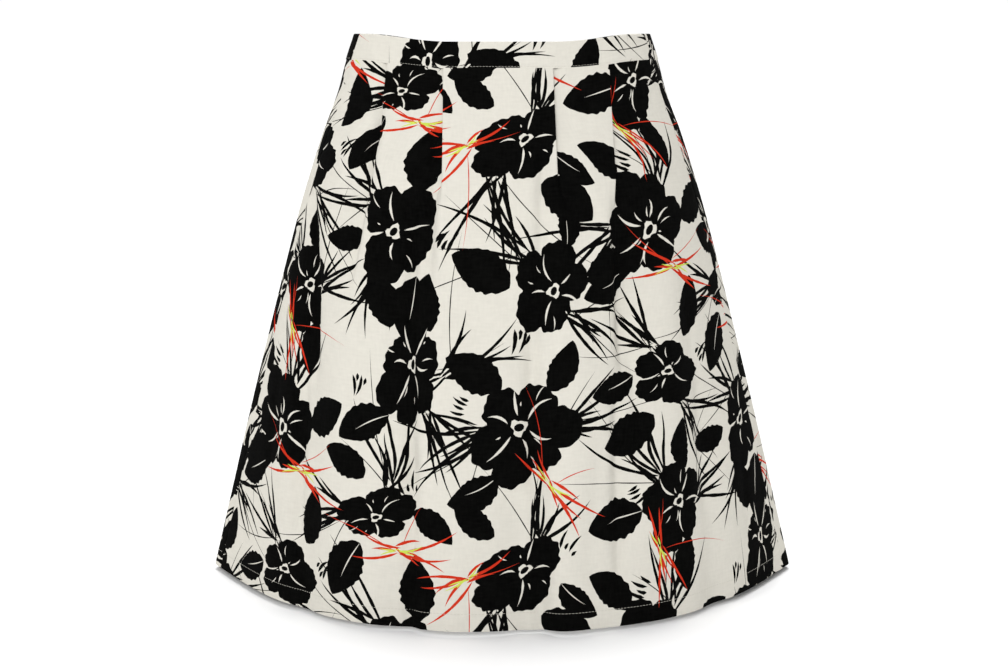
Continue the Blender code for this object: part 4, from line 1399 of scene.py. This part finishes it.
class SkirtStage(bpy.types.PropertyGroup):
    """The studio round the skirt."""

    floor_drop: measure("Floor drop", "How far the floor lies below the waist", 0.5562, 0.50, 1.0)
    sky: amount("Surrounding light", "Strength of the light from all round", 0.37, 5.0)
    wall_glow: amount("Wall glow", "Brightness of the lit wall round the floor", 1.02, 5.0)
    top: amount("Top light", "Strength of the soft light from overhead", 2.75, 20.0)
    key: amount("Key light", "Power of the large lamp in front on the left", 109.0, 1000.0, "POWER")


class SKIRT_OT_panels(bpy.types.Operator):
    """Lay the printed front and both backs on the form"""

    bl_idname = "skirt.panels"
    bl_label = "Front and backs"

    def execute(self, context):
        printed_cotton()
        plain_finish(THREAD, context.scene.skirt_cloth.thread, roughness=0.7, specular=0.2)
        for name, drape, hung_from in (
            ("front_panel", front_rows(), "waistband_front"),
            ("back_left", back_rows(-1), "waistband_back_left"),
            ("back_right", back_rows(+1), "waistband_back_right"),
        ):
            panel(name, drape, hem_sewing(name, drape))
        return {"FINISHED"}


class SKIRT_OT_waistband(bpy.types.Operator):
    """Fold the waistband's pieces over the top edge and stitch them down"""

    bl_idname = "skirt.waistband"
    bl_label = "Waistband"

    def execute(self, context):
        for name, seams, datum in (
            ("waistband_front", (-1.0, 1.0), BAND_COLUMNS // 2 + SEAM_STEPS),
            ("waistband_back_left", (-2.0, -1.0), 0),
            ("waistband_back_right", (1.0, 2.0), -1),
        ):
            band(name, seams, datum, band_sewing(name, seams))
        return {"FINISHED"}


class SKIRT_OT_zip(bpy.types.Operator):
    """Finish the zip's tape, slider and pull"""

    bl_idname = "skirt.zip"
    bl_label = "Zip"

    def execute(self, context):
        woven_tape()
        satin_metal()
        plain_finish(COIL, COIL_TONE, roughness=0.42, specular=0.45, grain=0.06)
        woven, teeth = tape(), coil()
        sewn = [zip_sewing("zip_stitches_left", 1), zip_sewing("zip_stitches_right", -1)]
        slider()
        pull()
        return {"FINISHED"}


CAMERA_PLACE, CAMERA_TILT = (0.002, -1.700, 0.0), math.radians(90.0 - 10.23)
CAMERA_LENS, CAMERA_SENSOR = 59.75, 36.0
TOP_PLACE, TOP_SPREAD = (0.0, 1.35, 3.4), math.radians(36.0)
KEY_PLACE, KEY_SIZE = (-1.05, -3.95, 2.3), 2.2
LIT_AT = Vector((0.0, 0.0, -0.28))      # the spot that the lamps point at
WALL_RADIUS, WALL_HEIGHT, WALL_STEPS = 12.0, 4.0, 96
WHITE, BLACK_PAINT, PALE = (1.0, 1.0, 1.0, 1.0), (0.0, 0.0, 0.0, 1.0), (0.90, 0.90, 0.90, 1.0)


def lamp(name, kind, place, strength, **softness):
    """A lamp that faces the skirt."""
    light = bpy.data.lights.new(name, kind)
    light.energy = strength
    for key, value in softness.items():
        setattr(light, key, value)
    made = new_object(name, light)
    made.location = place
    made.rotation_euler = (LIT_AT - made.location).to_track_quat("-Z", "Y").to_euler()


class SKIRT_OT_stage(bpy.types.Operator):
    """Make the pale floor, the lit wall round it, the lamps and the camera"""

    bl_idname = "skirt.stage"
    bl_label = "Studio"

    def execute(self, context):
        scene, stage = context.scene, context.scene.skirt_stage
        scene.view_settings.view_transform = "Standard"
        pale = Finish("studio floor", Base_Color=PALE, Roughness=0.95, Specular_IOR_Level=0.0)
        lit = Finish("lit wall", Base_Color=BLACK_PAINT, Roughness=1.0, Specular_IOR_Level=0.0,
                     Emission_Color=WHITE, Emission_Strength=stage.wall_glow)
        circle = WALL_RADIUS * towards(full_turn(WALL_STEPS))
        low = np.insert(circle, 2, -stage.floor_drop, axis=1)
        index = np.arange(2 * WALL_STEPS).reshape(2, -1)
        high = low + (0.0, 0.0, WALL_HEIGHT)
        for name, points, faces, finish in (
            ("floor", low, index[:1], pale),
            ("wall", np.concatenate((low, high)), quads(index)[:, ::-1], lit),
        ):
            piece = new_object(name, mesh_from(name, points, [faces]))
            piece.data.materials.append(finish.material)
            piece.visible_shadow = name == "floor"
        scene.world = bpy.data.worlds.new("surroundings")
        scene.world.use_nodes = True
        colour, strength = scene.world.node_tree.nodes["Background"].inputs[:2]
        colour.default_value, strength.default_value = WHITE, stage.sky
        lamp("top", "SUN", TOP_PLACE, stage.top, angle=TOP_SPREAD)
        lamp("key", "AREA", KEY_PLACE, stage.key, size=KEY_SIZE)
        camera = new_object("camera", bpy.data.cameras.new("camera"))
        camera.data.lens, camera.data.sensor_width = CAMERA_LENS, CAMERA_SENSOR
        camera.location, camera.rotation_euler = CAMERA_PLACE, (CAMERA_TILT, 0.0, 0.0)
        camera.data.clip_start, camera.data.clip_end = 0.01, 100.0
        scene.camera = camera
        return {"FINISHED"}


class SKIRT_PT_sidebar(bpy.types.Panel):
    """The skirt's settings and steps"""

    bl_idname = "SKIRT_PT_sidebar"
    bl_label = "A-line skirt"
    bl_space_type = "VIEW_3D"
    bl_region_type = "UI"
    bl_category = "Skirt"

    def draw(self, context):
        for group in (context.scene.skirt_cloth, context.scene.skirt_stage):
            box = self.layout.box()
            for setting in group.bl_rna.properties:
                if not setting.is_readonly and setting.identifier != "name":
                    box.prop(group, setting.identifier)
        for step in STEPS:
            self.layout.operator(step.bl_idname)


STEPS = (SKIRT_OT_panels, SKIRT_OT_waistband, SKIRT_OT_zip, SKIRT_OT_stage)
CLASSES = (SkirtCloth, SkirtStage, *STEPS, SKIRT_PT_sidebar)


def register():
    for kind in CLASSES:
        bpy.utils.register_class(kind)
    bpy.types.Scene.skirt_cloth = bpy.props.PointerProperty(type=SkirtCloth)
    bpy.types.Scene.skirt_stage = bpy.props.PointerProperty(type=SkirtStage)


def unregister():
    del bpy.types.Scene.skirt_cloth
    del bpy.types.Scene.skirt_stage
    for kind in reversed(CLASSES):
        bpy.utils.unregister_class(kind)


def main():
    register()
    bpy.ops.skirt.panels()
    bpy.ops.skirt.waistband()
    bpy.ops.skirt.zip()
    bpy.ops.skirt.stage()


if __name__ == "__main__":
    main()
